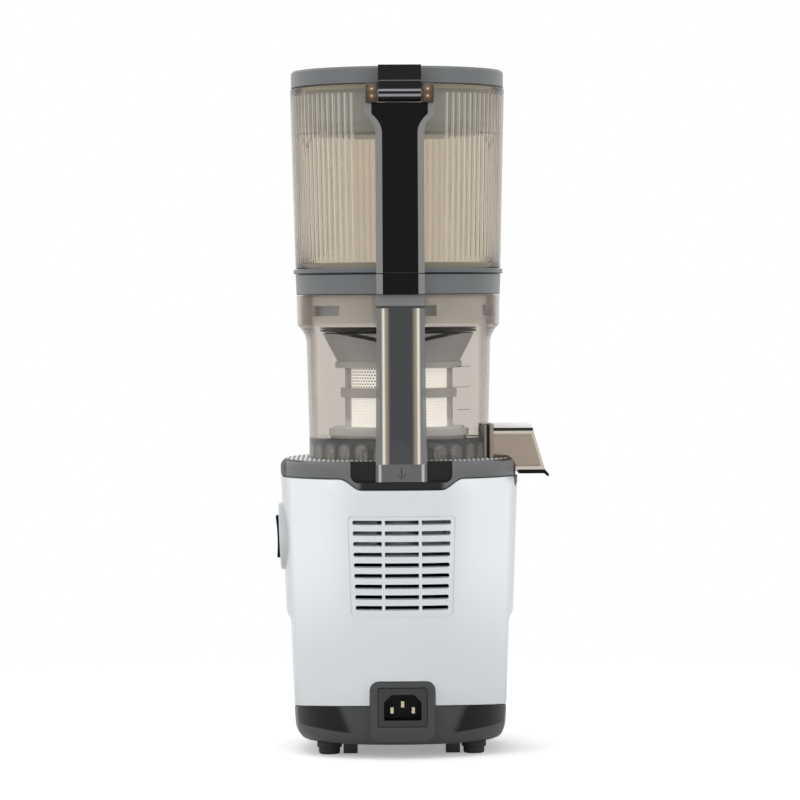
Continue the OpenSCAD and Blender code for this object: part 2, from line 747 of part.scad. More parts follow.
hub_top_z = deck_z + hub_h;
auger_z = hub_top_z + 1.5;
hex_top_z = auger_z + 24;
module drive_shaft() {
    color("silver") union() {
        translate([0, 0, case_z + 15.2]) cylinder(r = drive_r, h = hub_top_z + 0.5 - case_z - 15.2);
        translate([0, 0, hub_top_z - 2]) cylinder(r = hex_af / 2 / cos(30), h = hex_top_z - hub_top_z + 2, $fn = 6);
    }
}

module drive_bush() {
    color("goldenrod") translate([0, 0, deck_z - deck_t]) tube(seal_r - touch, drive_r + run, deck_t + hub_h - 3);
}

module shaft_seal() {
    color([0.25, 0.25, 0.25]) translate([0, 0, hub_top_z - 3 + touch]) tube(seal_r - touch, drive_r + run, 3 - touch);
}

module control_board() {
    color("darkgreen") {
        translate([-board_half_w + touch, board_y - 0.8, pan_z_in + touch]) cube([2 * (board_half_w - touch), 1.6, 38]);
        translate([-18, board_y + 0.7, pan_z_in + 12]) cube([14, 11, 16]);
        translate([2, board_y + 0.7, pan_z_in + 14]) cube([16, 7, 10]);
        for (x = [-8, 8]) translate([x, board_y - 0.7, pan_z_in + 26]) rotate([90, 0, 0]) cylinder(r = 5, h = 9);
    }
}

module interlock_switch() {
    color([0.15, 0.15, 0.16]) {
        translate([-10, tip_y - 8, notch_z - tray_t - touch - 11]) cube([20, 11, 11]);
        translate([-1.5, tip_y - 1.5, notch_z - tray_t - 1]) cube([3, 3, 1.4]);
    }
}

// ---- Bowl ----
spout_z = floor_z + spout_r - spout_t;
cap_pin_y = -(spout_y - 6);
cap_pin_z = spout_z + spout_r + 3.8;
cap_pin_r = 1.25;
chute_top_z = floor_z + 8;
chute_plate_t = 4;
chute_foot_z = rim_z + 3.4;
chute_in_x = side_x + gap;
port_half_w = 12;
duct_in_x = 38;
duct_t = 1.6;
journal_r = 8;
boss_in = journal_r + 3.5;
boss_out_r = boss_in + 3;
foot_z = notch_z + 0.4;
flare = 2.3;

// Mouth of the pulp duct, seen along X.
module pulp_port_2d() {
    translate([-port_half_w, bowl_z + duct_t]) square([2 * port_half_w, floor_z - floor_t - bowl_z - duct_t]);
}

function shoulder_pts(inset) = [for (k = [0 : 6]) let (t = k / 6)
    [lerp(bowl_r_mid, bowl_r_top - 0.4, pow(t, flare)) - inset, shoulder_z + t * shoulder_h]];
function flipped(v) = [for (k = [len(v) - 1 : -1 : 0]) v[k]];

// Filled outline of the bowl, grown by g.
module bowl_solid(g) {
    rotate_extrude($fn = 128) polygon(concat(
        [[0, bowl_z - g], [bowl_r_low + g, bowl_z - g], [bowl_r_low + g, floor_z]],
        shoulder_pts(-g), [[bowl_r_top + g, bowl_top_z + g], [0, bowl_top_z + g]]));
}

// Face of the handle column as seen from the rear.
module column_2d(inset, z0, z1) {
    w0 = lerp(column_foot_w, column_top_w, (z0 - foot_z) / (bowl_top_z - foot_z)) - inset;
    w1 = lerp(column_foot_w, column_top_w, (z1 - foot_z) / (bowl_top_z - foot_z)) - inset;
    polygon([[-w0, z0], [w0, z0], [w1, z1], [-w1, z1]]);
}

module bowl() {
    low_in = bowl_r_low - bowl_t;
    color([0.78, 0.75, 0.71, 0.5]) difference() {
        union() {
            rotate_extrude($fn = 128) polygon(concat(
                [[bowl_r_low, bowl_z], [bowl_r_low, floor_z]], shoulder_pts(0),
                [[bowl_r_top, bowl_top_z], [bowl_r_top - bowl_t, bowl_top_z]], flipped(shoulder_pts(bowl_t)),
                [[low_in, floor_z], [boss_in, floor_z], [boss_in, hub_top_z + gap], [boss_out_r, hub_top_z + gap],
                 [boss_out_r, floor_z - floor_t], [low_in, floor_z - floor_t], [low_in, bowl_z]]));
            // Handle column, open at both ends
            difference() {
                union() {
                    along_y(45, column_y) column_2d(0, bowl_z, bowl_top_z);
                    along_y(notch_y + gap, column_y) column_2d(0, foot_z, bowl_z + 1);
                }
                along_y(44, column_y - column_t) column_2d(column_t, bowl_z + column_t, bowl_top_z + over);
                along_y(notch_y + gap + column_t, column_y - column_t) column_2d(column_t, foot_z - over, bowl_z + column_t + 1);
                bowl_solid(-bowl_t / 2);
                translate([0, 0, bowl_top_z - 2]) cylinder(r = bowl_r_top - bowl_t / 2, h = 4, $fn = 128);
            }
            // Pulp duct under the floor
            intersection() {
                along_x(-bowl_r_low, -duct_in_x) translate([-port_half_w - duct_t, bowl_z]) square([2 * (port_half_w + duct_t), floor_z - bowl_z - 1]);
                bowl_solid(-bowl_t / 2);
            }
            // Juice spout with two ears for the cap
            difference() {
                union() {
                    translate([0, -spout_y, spout_z]) rotate([-90, 0, 0]) cylinder(r = spout_r, h = spout_y - 40);
                    for (x = [-1, 1]) translate([x * 5.2, 0, 0]) {
                        translate([-1.3, cap_pin_y - 3.2, spout_z + spout_r - 3]) cube([2.6, 6.4, 6.8]);
                        translate([-1.3, cap_pin_y, cap_pin_z]) rotate([0, 90, 0]) cylinder(r = 3.2, h = 2.6);
                    }
                }
                bowl_solid(-bowl_t / 2);
            }
        }
        translate([0, -spout_y - over, spout_z]) rotate([-90, 0, 0]) cylinder(r = spout_r - spout_t, h = spout_y - 46);
        translate([-10, cap_pin_y, cap_pin_z]) rotate([0, 90, 0]) cylinder(r = cap_pin_r + touch, h = 20);
        // Pulp port through the floor and out through the skirt
        along_x(-bowl_r_low - 5, -duct_in_x - duct_t) pulp_port_2d();
        translate([-bowl_r_low + bowl_t + 1.5, -port_half_w, floor_z - floor_t - over]) cube([bowl_r_low - bowl_t - 1.5 - duct_in_x - duct_t, 2 * port_half_w, floor_t + 2 * over]);
    }
}

module bowl_seal() {
    color([0.8, 0.8, 0.78]) translate([0, 0, hub_top_z + gap]) tube(boss_in - touch, journal_r + run, floor_z - hub_top_z - gap);
}

// Flat sided profile in X and Z, extruded across the chute.
module chute_prism(half_w, pts) {
    along_y(-half_w, half_w) polygon(pts);
}

module pulp_chute() {
    roof_z = chute_top_z - chute_plate_t - 0.2;
    color([0.62, 0.58, 0.53, 0.6]) difference() {
        chute_prism(chute_half_w, [[-chute_in_x, roof_z], [-chute_top_x - 1, roof_z], [-chute_foot_x, chute_foot_z],
            [-chute_in_x - 9, chute_foot_z], [-chute_in_x, deck_z]]);
        chute_prism(chute_half_w - chute_t, [[-chute_in_x + 1, roof_z - 2], [-chute_foot_x - 10, roof_z - 2],
            [-chute_foot_x - 10, chute_foot_z + 2], [-chute_in_x - 11, chute_foot_z + 2], [-chute_in_x + 1, bowl_z + duct_t]]);
    }
}

module chute_seal() {
    color([0.2, 0.2, 0.2]) difference() {
        along_x(-chute_in_x + touch, -50) translate([-chute_half_w, bowl_z]) square([2 * chute_half_w, chute_top_z - bowl_z]);
        bowl_solid(touch);
        along_x(-chute_in_x - over, -45) pulp_port_2d();
    }
}

module chute_cover() {
    color([0.72, 0.72, 0.74]) chute_prism(chute_half_w, [[-chute_in_x, chute_top_z], [-chute_top_x, chute_top_z],
        [-chute_top_x - 1, chute_top_z - chute_plate_t - 0.15], [-chute_in_x, chute_top_z - chute_plate_t - 0.15]]);
}

module chute_lip() {
    z = chute_foot_z - touch;
    color([0.1, 0.1, 0.1]) chute_prism(chute_half_w, [[-chute_foot_x + 17.6, z], [-chute_foot_x, z], [-chute_foot_x - 2.8, z - 3],
        [-chute_foot_x - 2.3, z - 5], [-chute_foot_x + 0.5, z - 2.6], [-chute_foot_x + 17.6, z - 2.6]]);
}

module spout_cap() {
    color([0.2, 0.2, 0.21]) difference() {
        union() {
            translate([0, -spout_y - 0.15, spout_z]) rotate([90, 0, 0]) cylinder(r = spout_r + 1.2, h = 3);
            translate([0, -spout_y - 1, spout_z]) rotate([-90, 0, 0]) cylinder(r = spout_r - spout_t - 1.8, h = 2.4);
            translate([-3.6, -spout_y - 3.15, spout_z + 4]) cube([7.2, 3, cap_pin_z + 3 - spout_z - 4]);
            translate([-3.6, -spout_y - 3.15, cap_pin_z]) cube([7.2, cap_pin_y + spout_y + 3.15, 3]);
            translate([-3.6, cap_pin_y, cap_pin_z]) rotate([0, 90, 0]) cylinder(r = 3, h = 7.2);
            // Thumb tab
            translate([-5, -spout_y - 3.15, spout_z - spout_r - 5]) cube([10, 3, 8]);
        }
        translate([-10, cap_pin_y, cap_pin_z]) rotate([0, 90, 0]) cylinder(r = cap_pin_r + run, h = 20);
    }
}

module cap_pin() {
    color("silver") translate([-6.5, cap_pin_y, cap_pin_z]) rotate([0, 90, 0]) cylinder(r = cap_pin_r, h = 13);
}

module interlock_rod() {
    color([0.3, 0.3, 0.31]) {
        translate([-rod_half_w, rod_y - rod_half_t, foot_z + 1]) cube([2 * rod_half_w, 2 * rod_half_t, bowl_top_z - 0.2 - foot_z - 1]);
        translate([-rod_half_w, tip_y - 1, foot_z + 1]) cube([2 * rod_half_w, rod_y - tip_y + 1, 5]);
        translate([-2, tip_y - 1.1, notch_z - tray_t + 0.7]) cube([4, 2.6, 5]);
    }
}

// ---- Strainer and auger ----
mesh_r = 34.2;
funnel_rim_z = shoulder_z + 8;
funnel_foot_z = shoulder_z - 11;
mid_ring_z = shoulder_z - 35;
flange_top_z = floor_z + strainer_flange_h;

module strainer_frame() {
    r_in = mesh_r + touch;
    color([0.55, 0.56, 0.57]) difference() {
        union() {
            rotate_extrude($fn = 128) polygon([[r_in, floor_z + touch], [strainer_flange_r - 1.5, floor_z + touch],
                [strainer_flange_r - 1.5, floor_z + 1.2], [strainer_flange_r, floor_z + 1.2], [strainer_flange_r, flange_top_z - 1.5],
                [strainer_flange_r - 3, flange_top_z - 1.5], [strainer_flange_r - 3, flange_top_z], [r_in, flange_top_z]]);
            translate([0, 0, mid_ring_z]) tube(strainer_mid_r, r_in, 6.4);
            rotate_extrude($fn = 128) polygon([[r_in, funnel_foot_z - 4.2], [strainer_top_r, funnel_foot_z - 4.2],
                [strainer_top_r, funnel_foot_z], [strainer_top_r - 1.5, funnel_foot_z], [funnel_r, funnel_rim_z],
                [funnel_r - 2.2, funnel_rim_z], [strainer_top_r - 3.6, funnel_foot_z + 0.6], [r_in, funnel_foot_z + 0.6]]);
            for (k = [0 : posts - 1]) rotate([0, 0, 90 + 360 * k / posts])
                translate([r_in + 0.05, -2.7, floor_z + 2]) cube([2.6, 5.4, funnel_foot_z - floor_z - 4]);
        }
        // Pulp gate towards the chute
        translate([-60, -8, floor_z - over]) cube([60 - r_in + 8, 16, 5]);
    }
}

module strainer_mesh() {
    color([0.86, 0.85, 0.82]) difference() {
        translate([0, 0, floor_z + touch]) tube(mesh_r, mesh_r - mesh_t, funnel_foot_z - floor_z);
        translate([-60, -8, floor_z - over]) cube([60, 16, 5]);
    }
}

auger_turns = 2.25;
screw_z = floor_z + 1.2;
screw_top_z = funnel_foot_z - 2;
screw_r0 = mesh_r - mesh_t - 0.9;
dish_z = funnel_rim_z + 4;
function flight(r_core, r_out, half) = concat(
    [for (k = [0 : 9]) let (a = half + (360 - 2 * half) * k / 9) r_core * [cos(a), sin(a)]],
    [r_core * [cos(half * 0.9), -sin(half * 0.9)]],
    [for (k = [-2 : 2]) r_out * [cos(k * half / 5), sin(k * half / 5)]]);

module auger() {
    color([0.1, 0.1, 0.1]) difference() {
        union() {
            translate([0, 0, auger_z]) cylinder(r = journal_r, h = screw_z - auger_z + 3);
            translate([0, 0, screw_z]) cylinder(r1 = 21, r2 = 13, h = screw_top_z - screw_z);
            translate([0, 0, screw_z]) linear_extrude(screw_top_z - screw_z, twist = -360 * auger_turns, slices = 54)
                polygon(flight(12, screw_r0, 26));
            // Feed dish with a raised hub
            rotate_extrude($fn = 96) polygon([[0, screw_top_z - 3], [13.5, screw_top_z - 3], [30, funnel_foot_z + 1.8], [36, funnel_foot_z + 2.6],
                [dish_r - 7.7, dish_z - 4.9], [dish_r, dish_z - 2.6], [dish_r, dish_z], [dish_r - 2.5, dish_z], [34, funnel_foot_z + 6],
                [14, funnel_foot_z + 10], [5, dish_z + 17], [2, dish_z + 18], [0, dish_z + 18]]);
        }
        translate([0, 0, auger_z - over]) cylinder(r = (hex_af / 2 + 0.15) / cos(30), h = hex_top_z + 1 - auger_z + over, $fn = 6);
    }
}

// ---- Collar and hopper ----
hopper_in_low = hopper_r_low - hopper_t;

module collar_ring() {
    color([0.44, 0.46, 0.47]) rotate_extrude($fn = 128) polygon([[spigot_r + touch, collar_z], [collar_r - 0.6, collar_z],
        [collar_r, collar_z + collar_h], [spigot_r + touch, collar_z + collar_h]]);
}

module hopper_spigot() {
    color([0.55, 0.56, 0.55, 0.6]) difference() {
        translate([0, 0, bowl_wide_z + 0.5]) tube(spigot_r, spigot_r - 2, flange_z - touch - bowl_wide_z - 0.5);
        // Windows for the bayonet lugs
        for (a = [40 : 60 : 340]) rotate([0, 0, a]) translate([spigot_r - 6, -13, bowl_wide_z + 6]) cube([12, 26, 7]);
    }
}

module hopper_floor() {
    in_r = hopper_in_low - touch;
    color([0.44, 0.46, 0.47]) rotate_extrude($fn = 128) polygon([[spigot_r - 2.2, flange_z], [flange_r, flange_z], [flange_r, hopper_z],
        [in_r, hopper_z], [in_r, hopper_z + 4.5], [spigot_r - 4.5, flange_z], [dish_r + 4.4, hopper_z - 16], [dish_r + 3.2, bowl_wide_z + 2],
        [dish_r + 5.2, bowl_wide_z + 2], [dish_r + 6.6, hopper_z - 17]]);
}

module hopper_tube() {
    color([0.7, 0.66, 0.6, 0.4]) rotate_extrude($fn = 128) polygon([[hopper_r_low, hopper_z + touch], [hopper_r_top, mouth_z],
        [hopper_r_top - hopper_t, mouth_z], [hopper_in_low, hopper_z + touch]]);
}

// ---- Spine and hinge ----
hinge_z = mouth_z - 6.3;
spine_top_z = hinge_z - 6.7;
widen_z = spine_top_z - 20;
cover_t = 2;
frame_rim = 4.2;
knuckle_r = 5.8;

function spine_w(z) = lerp(spine_half_w, spine_top_w, pow(min(1, max(0, (z - widen_z) / 13)), 2.2));
module spine_2d(inset, z0, z1) {
    zs = concat([z0], [for (k = [0 : 8]) let (z = lerp(widen_z, widen_z + 13, k / 8)) if (z > z0 && z < z1) z], [z1]);
    polygon(concat([for (z = zs) [spine_w(z) - inset, z]], [for (z = flipped(zs)) [-spine_w(z) + inset, z]]));
}

// Everything inside the collar, flange and hopper walls.
module hopper_keepout(g) {
    rotate_extrude($fn = 128) polygon([[0, collar_z - over], [collar_r + g, collar_z - over], [collar_r + g, flange_z - 0.1],
        [flange_r + g, flange_z - 0.1], [flange_r + g, hopper_z + 0.1], [hopper_r_low + g, hopper_z + 0.1],
        [hopper_r_top + g, mouth_z], [hopper_r_top + g, mouth_z + 5], [0, mouth_z + 5]]);
}

module spine_frame() {
    color([0.55, 0.56, 0.58]) difference() {
        difference() {
            along_y(60, spine_y) spine_2d(0, collar_z, spine_top_z);
            // Channel of the rod
            translate([-rod_half_w - 0.5, 55, collar_z - over])
                cube([2 * rod_half_w + 1, spine_y - cover_t - 1.2 - 55, spine_top_z - collar_z + 2 * over]);
        }
        hopper_keepout(touch);
        along_y(spine_y - cover_t, spine_y + over) spine_2d(frame_rim, collar_z - over, spine_top_z + over);
    }
}

module spine_cover() {
    color([0.1, 0.1, 0.1]) along_y(spine_y - cover_t + touch, spine_y) spine_2d(frame_rim + touch, flange_z + 0.2, spine_top_z);
}

module collar_cover() {
    color([0.1, 0.1, 0.1]) along_y(spine_y - cover_t + touch, spine_y) spine_2d(frame_rim + touch, collar_z, flange_z - 0.3);
}

spine_rod_y = spine_y - 5.5;
module spine_rod() {
    color([0.3, 0.3, 0.31]) translate([-rod_half_w, spine_rod_y - 2, collar_z + 0.1])
        cube([2 * rod_half_w, 4, spine_top_z - 3.6 - collar_z - 0.1]);
}

module hinge_ears() {
    color([0.36, 0.27, 0.2, 0.8]) difference() {
        for (x = [-1, 1]) along_x(x > 0 ? strap_half_w + 0.5 : -spine_top_w + 0.4, x > 0 ? spine_top_w - 0.4 : -strap_half_w - 0.5) {
            translate([hinge_y, hinge_z]) circle(6.3);
            translate([hinge_y - 6.3, spine_top_z + touch]) square([10, hinge_z - spine_top_z]);
        }
        hopper_keepout(touch);
        translate([-40, hinge_y, hinge_z]) rotate([0, 90, 0]) cylinder(r = hinge_pin_r + touch, h = 80);
    }
}

module hinge_pin() {
    color("silver") translate([-spine_top_w + 0.6, hinge_y, hinge_z]) rotate([0, 90, 0]) cylinder(r = hinge_pin_r, h = 2 * spine_top_w - 1.2);
}

// ---- Lid ----
module lid_ring() {
    color([0.44, 0.46, 0.47]) rotate_extrude($fn = 128) polygon([[cup_r - 2, lid_z], [lid_r, lid_z], [lid_r, lid_top_z - 1.5],
        [lid_r - 1.2, lid_top_z], [0, lid_top_z], [0, lid_top_z - 3], [cup_r - 2, lid_top_z - 3]]);
}

module lid_strap() {
    color([0.1, 0.1, 0.1]) difference() {
        along_x(-strap_half_w, strap_half_w) {
            translate([hinge_y, hinge_z]) circle(knuckle_r);
            translate([hinge_y - 5.4, hinge_z]) square([10.9, lid_top_z - 1.5 - hinge_z]);
            translate([60, lid_z]) square([hinge_y + 4 - 60, lid_h]);
        }
        rotate_extrude($fn = 128) polygon([[0, lid_z - over], [lid_r + touch, lid_z - over], [lid_r + touch, lid_top_z + over], [0, lid_top_z + over]]);
        translate([-40, hinge_y, hinge_z]) rotate([0, 90, 0]) cylinder(r = hinge_pin_r + run, h = 80);
    }
}

module lid_cup() {
    z = lid_z - touch;
    color([0.6, 0.61, 0.6, 0.5]) rotate_extrude($fn = 128) polygon([[cup_r, z], [cup_r - 2, z], [cup_r - 4.8, z - cup_h + 9],
        [cup_r - 8, z - cup_h + 3.5], [cup_r - 12, z - cup_h + 2], [0, z - cup_h + 2], [0, z - cup_h], [cup_r - 11.5, z - cup_h],
        [cup_r - 6.5, z - cup_h + 2], [cup_r - 3, z - cup_h + 8]]);
}

module lid_seal() {
    color([0.75, 0.75, 0.74]) translate([0, 0, lid_z - 3.5])
        tube(hopper_r_top - hopper_t - 2.5, cup_r + touch, 3.5 - touch);
}

// Place of the auger axis: the chute lip, the switch, the spout cap and the hinge end the footprint.
home = [(chute_foot_x + 2.8 - face_x - rocker_face - 0.445) / 2, (spout_y + 3.15 - hinge_y - 6.3) / 2, 0];

translate(home) base_pan();
translate(home) rubber_feet();
translate(home) pan_screws();
translate(home) base_shell();
translate(home) deck_cover();
translate(home) inlet_body();
translate(home) inlet_pins();
translate(home) switch_bezel();
translate(home) switch_body();
translate(home) rocker();
translate(home) motor_can();
translate(home) stator();
translate(home) lower_bracket();
translate(home) upper_bracket();
translate(home) rotor();
translate(home) cooling_fan();
translate(home) gear_case();
translate(home) gear_cover();
translate(home) idler_shaft();
translate(home) idler_gear();
translate(home) output_wheel();
translate(home) drive_shaft();
translate(home) drive_bush();
translate(home) shaft_seal();
translate(home) control_board();
translate(home) interlock_switch();
translate(home) interlock_rod();
translate(home) spine_rod();
translate(home) bowl();
translate(home) bowl_seal();
translate(home) pulp_chute();
translate(home) chute_seal();
translate(home) chute_cover();
translate(home) chute_lip();
translate(home) spout_cap();
translate(home) cap_pin();
translate(home) strainer_frame();
translate(home) strainer_mesh();
translate(home) auger();
translate(home) collar_ring();
translate(home) hopper_spigot();
translate(home) hopper_floor();
translate(home) hopper_tube();
translate(home) spine_frame();
translate(home) spine_cover();
translate(home) collar_cover();
translate(home) hinge_ears();
translate(home) hinge_pin();
translate(home) lid_ring();
translate(home) lid_strap();
translate(home) lid_cup();
translate(home) lid_seal();
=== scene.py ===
import math

import bmesh
import bpy
import numpy as np
from mathutils import Matrix, Vector


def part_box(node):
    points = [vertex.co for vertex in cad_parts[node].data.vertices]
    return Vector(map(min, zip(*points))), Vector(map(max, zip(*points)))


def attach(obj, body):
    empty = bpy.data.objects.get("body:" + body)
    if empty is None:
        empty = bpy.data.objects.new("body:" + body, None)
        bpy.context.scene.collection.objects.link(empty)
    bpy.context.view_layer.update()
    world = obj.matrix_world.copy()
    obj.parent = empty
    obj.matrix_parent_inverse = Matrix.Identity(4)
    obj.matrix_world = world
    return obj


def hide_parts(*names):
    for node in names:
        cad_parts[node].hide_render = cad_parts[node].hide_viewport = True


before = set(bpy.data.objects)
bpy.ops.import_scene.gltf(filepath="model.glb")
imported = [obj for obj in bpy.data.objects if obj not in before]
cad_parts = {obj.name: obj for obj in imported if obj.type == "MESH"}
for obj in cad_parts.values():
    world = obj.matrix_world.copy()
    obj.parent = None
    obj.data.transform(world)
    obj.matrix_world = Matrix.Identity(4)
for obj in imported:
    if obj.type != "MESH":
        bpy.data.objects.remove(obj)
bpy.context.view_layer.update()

# Shapes and patterns are in millimetres from the auger axis; the collar shows where that axis stands.
MM = 1000
_low, _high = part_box("collar_ring")
AXIS = np.array([(_low.x + _high.x) / 2, (_low.y + _high.y) / 2, 0.0]) * MM

SEAM, RIM, DECK_TOP = 29.0, 184.0, 195.5  # heights: pan to shell, shell to deck, top of the deck
HALF_WIDTH, REAR, FRONT, SPREAD = 73.9, 70.5, 89.0, 5.5  # base at the seam; its walls spread that much up to the rim
NOTCH_HALF, NOTCH_FLOOR, NOTCH_ROUND = 33.0, 181.7, 5.0  # rear notch of the deck
MESH_R = 34.2  # outside of the strainer's sheet
WINDOWS = 28  # round-topped windows round the bowl's skirt, painted paler as light
RIBS, RIBS_TOP = 96, 437.0  # fine ribs inside the hopper
ROUND = 360  # points on a ring of the base


# ---- Finishes ----
def linear(*rgb):
    """Linear colour of an sRGB colour in 0 to 255."""
    v = np.array(rgb, float) / 255
    return tuple(np.where(v <= 0.04045, v / 12.92, ((v + 0.055) / 1.055) ** 2.4))


class Value:
    """A socket of a finish. Sums and products of values add Math nodes."""

    def __init__(self, finish, socket):
        self.finish, self.socket = finish, socket

    def __add__(self, other):
        return self.finish.math("ADD", self, other)

    def __sub__(self, other):
        return self.finish.math("SUBTRACT", self, other)

    def __rsub__(self, other):
        return self.finish.math("SUBTRACT", other, self)

    def __mul__(self, other):
        return self.finish.math("MULTIPLY", self, other)

    def __truediv__(self, other):
        return self.finish.math("DIVIDE", self, other)

    __radd__, __rmul__ = __add__, __mul__


class Finish:
    """A procedural material. Object coordinates are turned into millimetres from the auger axis."""

    def __init__(self, name):
        self.material = bpy.data.materials.new(name)
        self.material.use_nodes = True
        self.tree = self.material.node_tree
        self.tree.nodes.clear()
        self.at = self.add("Mapping", {"vector_type": "POINT"}, {
            "Vector": self.add("TexCoord", out=3), "Location": tuple(-AXIS), "Scale": (MM,) * 3})

    def add(self, kind, settings=None, sockets=None, out=0):
        node = self.tree.nodes.new("ShaderNode" + kind)
        for key, value in (settings or {}).items():
            setattr(node, key, value)
        for key, value in (sockets or {}).items():
            if isinstance(value, Value):
                self.tree.links.new(value.socket, node.inputs[key])
            else:
                node.inputs[key].default_value = value
        return Value(self, node.outputs[out])

    def math(self, operation, *values):
        return self.add("Math", {"operation": operation}, dict(enumerate(values)))

    def size(self, value):
        """The value without its sign."""
        return self.math("ABSOLUTE", value)

    def reach(self, a, b):
        """Length of (a, b)."""
        return self.math("SQRT", a * a + b * b)

    def xyz(self):
        x = self.add("SeparateXYZ", sockets={0: self.at})
        return x, Value(self, x.socket.node.outputs[1]), Value(self, x.socket.node.outputs[2])

    def noise(self, cell, detail=2.0):
        """Noise about 0.5 whose cells are that many millimetres across."""
        return self.add("TexNoise", sockets={"Vector": self.at, "Scale": 1 / cell, "Detail": detail})

    def cells(self, cell):
        """A random value in each cell of that size."""
        return self.add("TexVoronoi", {"feature": "F1"}, {"Vector": self.at, "Scale": 1 / cell}, out=1)

    def step(self, value, low, high):
        """0 below low, 1 above high, an S-curve between."""
        return self.add("MapRange", {"interpolation_type": "SMOOTHSTEP"}, {0: value, 1: low, 2: high})

    def above(self, value, edge, soft):
        """0 below the edge, 1 above it, over that soft width."""
        return self.step(value, edge - soft / 2, edge + soft / 2)

    def below(self, value, edge, soft):
        """1 below the edge, 0 above it, over that soft width."""
        return 1.0 - self.above(value, edge, soft)

    def band(self, value, low, high, soft):
        """1 between low and high, 0 outside, with soft edges."""
        return self.above(value, low, soft) - self.above(value, high, soft)

    def blend(self, factor, a, b):
        """Colour a where factor is 0, b where it is 1."""
        colour = [c if isinstance(c, Value) else (*c, 1) for c in (a, b)]
        return self.add("Mix", {"data_type": "RGBA"}, {0: factor, 6: colour[0], 7: colour[1]}, out=2)

    def toned(self, factor, rgb, low, high):
        """The colour times low where factor is 0, times high where it is 1."""
        c = np.array(linear(*rgb))
        return self.blend(factor, tuple(c * low), tuple(np.minimum(c * high, 1)))

    def bump(self, height, depth):
        """Relief of that depth in millimetres."""
        return self.add("Bump", sockets={"Height": height, "Distance": depth / MM, "Strength": 1.0})

    def shader(self, colour, roughness, normal, **fixed):
        sockets = {"Base Color": colour if isinstance(colour, Value) else (*colour, 1), "Roughness": roughness,
                   "Normal": normal}
        sockets.update({key.replace("_", " "): value for key, value in fixed.items()})
        return self.add("BsdfPrincipled", sockets=sockets)

    def mixed(self, factor, a, b):
        """Shader a where factor is 0, b where it is 1."""
        return self.add("MixShader", sockets={0: factor, 1: a, 2: b})

    def done(self, shader):
        out = self.tree.nodes.new("ShaderNodeOutputMaterial")
        self.tree.links.new(shader.socket, out.inputs["Surface"])
        return self.material

    def done_clear(self, shader, rgb):
        """The finish, but rays from the lamps pass straight through it, tinted by that colour."""
        through = self.add("BsdfTransparent", sockets={"Color": (*linear(*rgb), 1)})
        return self.done(self.mixed(self.add("LightPath", out=1), shader, through))


def moulded(name, rgb, rough=0.45, grain=0.5, depth=0.012, **fixed):
    """Moulded plastic: slow drift of tone, spark-eroded grain in roughness and relief."""
    f = Finish(name)
    slow, fine = f.noise(34), f.noise(grain, 3)
    roughness = rough + (fine - 0.5) * 0.16 + (slow - 0.5) * 0.08
    return f.done(f.shader(f.toned(slow, rgb, 0.95, 1.05), roughness, f.bump(fine, depth), **fixed))


def painted(name, rgb):
    """Silver paint: flakes of two tones under a clear coat, a faint orange peel, painted light that makes it paler
    towards the upper rear corners, and painted shade that makes it greyer where the wall turns to the sides."""
    f = Finish(name)
    c = np.array(linear(*rgb))
    flakes, peel, slow = f.cells(0.28), f.noise(1.6, 2), f.noise(60)
    x, _, z = f.xyz()
    ax = f.size(x)
    # Painted shade greys the wall where it turns to the sides; painted light pales it towards the upper rear corners.
    edge = f.above(ax - z * (SPREAD / (RIM - SEAM)), 68.5, 7.0) * 0.7
    painted_light = f.above(z, 96.0, 90.0) * (0.25 + f.above(ax, 40.0, 34.0) * 0.75) * (1.0 - edge)
    colour = f.toned(flakes, rgb, 0.96, 1.02)
    colour = f.blend(painted_light, colour, tuple(np.minimum(c * 1.27, 0.92)))
    colour = f.blend(edge, colour, tuple(c * 0.78))
    roughness = 0.34 + (flakes - 0.5) * 0.1 + (slow - 0.5) * 0.06
    return f.done(f.shader(colour, roughness, f.bump(peel, 0.006),
                           Metallic=0.35, Coat_Weight=0.35, Coat_Roughness=0.12))


def metal(name, rgb, rough=0.28, along=(0.4, 0.4, 8.0)):
    """Turned or drawn metal: fine scratches, longest on the axis with the largest number of millimetres."""
    f = Finish(name)
    stretched = f.add("Mapping", {"vector_type": "POINT"}, {"Vector": f.at, "Scale": tuple(1 / a for a in along)})
    streak = f.add("TexNoise", sockets={"Vector": stretched, "Scale": 1.0, "Detail": 3.0})
    colour = f.toned(streak, rgb, 0.86, 1.05)
    return f.done(f.shader(colour, rough + (streak - 0.5) * 0.2, f.bump(streak, 0.006), Metallic=1.0))


def clear(name, tint, lamp_tint, rough=0.03, body=0.08):
    """Tinted clear plastic. The body part of it is milky, and flow marks ripple it."""
    f = Finish(name)
    slow, flow = f.noise(26), f.noise(3.5, 2)
    glass = f.shader(f.toned(slow, tint, 0.985, 1.015), rough + flow * 0.02, f.bump(flow, 0.004), IOR=1.47,
                     Transmission_Weight=1 - body, Specular_Tint=(0.4, 0.4, 0.4, 1))
    return f.done_clear(glass, lamp_tint)


def rubbery(name, rgb):
    """Soft rubber: matt, with a dusty mottle."""
    f = Finish(name)
    dust, fine = f.noise(6, 3), f.noise(0.7, 3)
    return f.done(f.shader(f.toned(dust, rgb, 0.85, 1.25), 0.75 + (fine - 0.5) * 0.2, f.bump(fine, 0.02)))


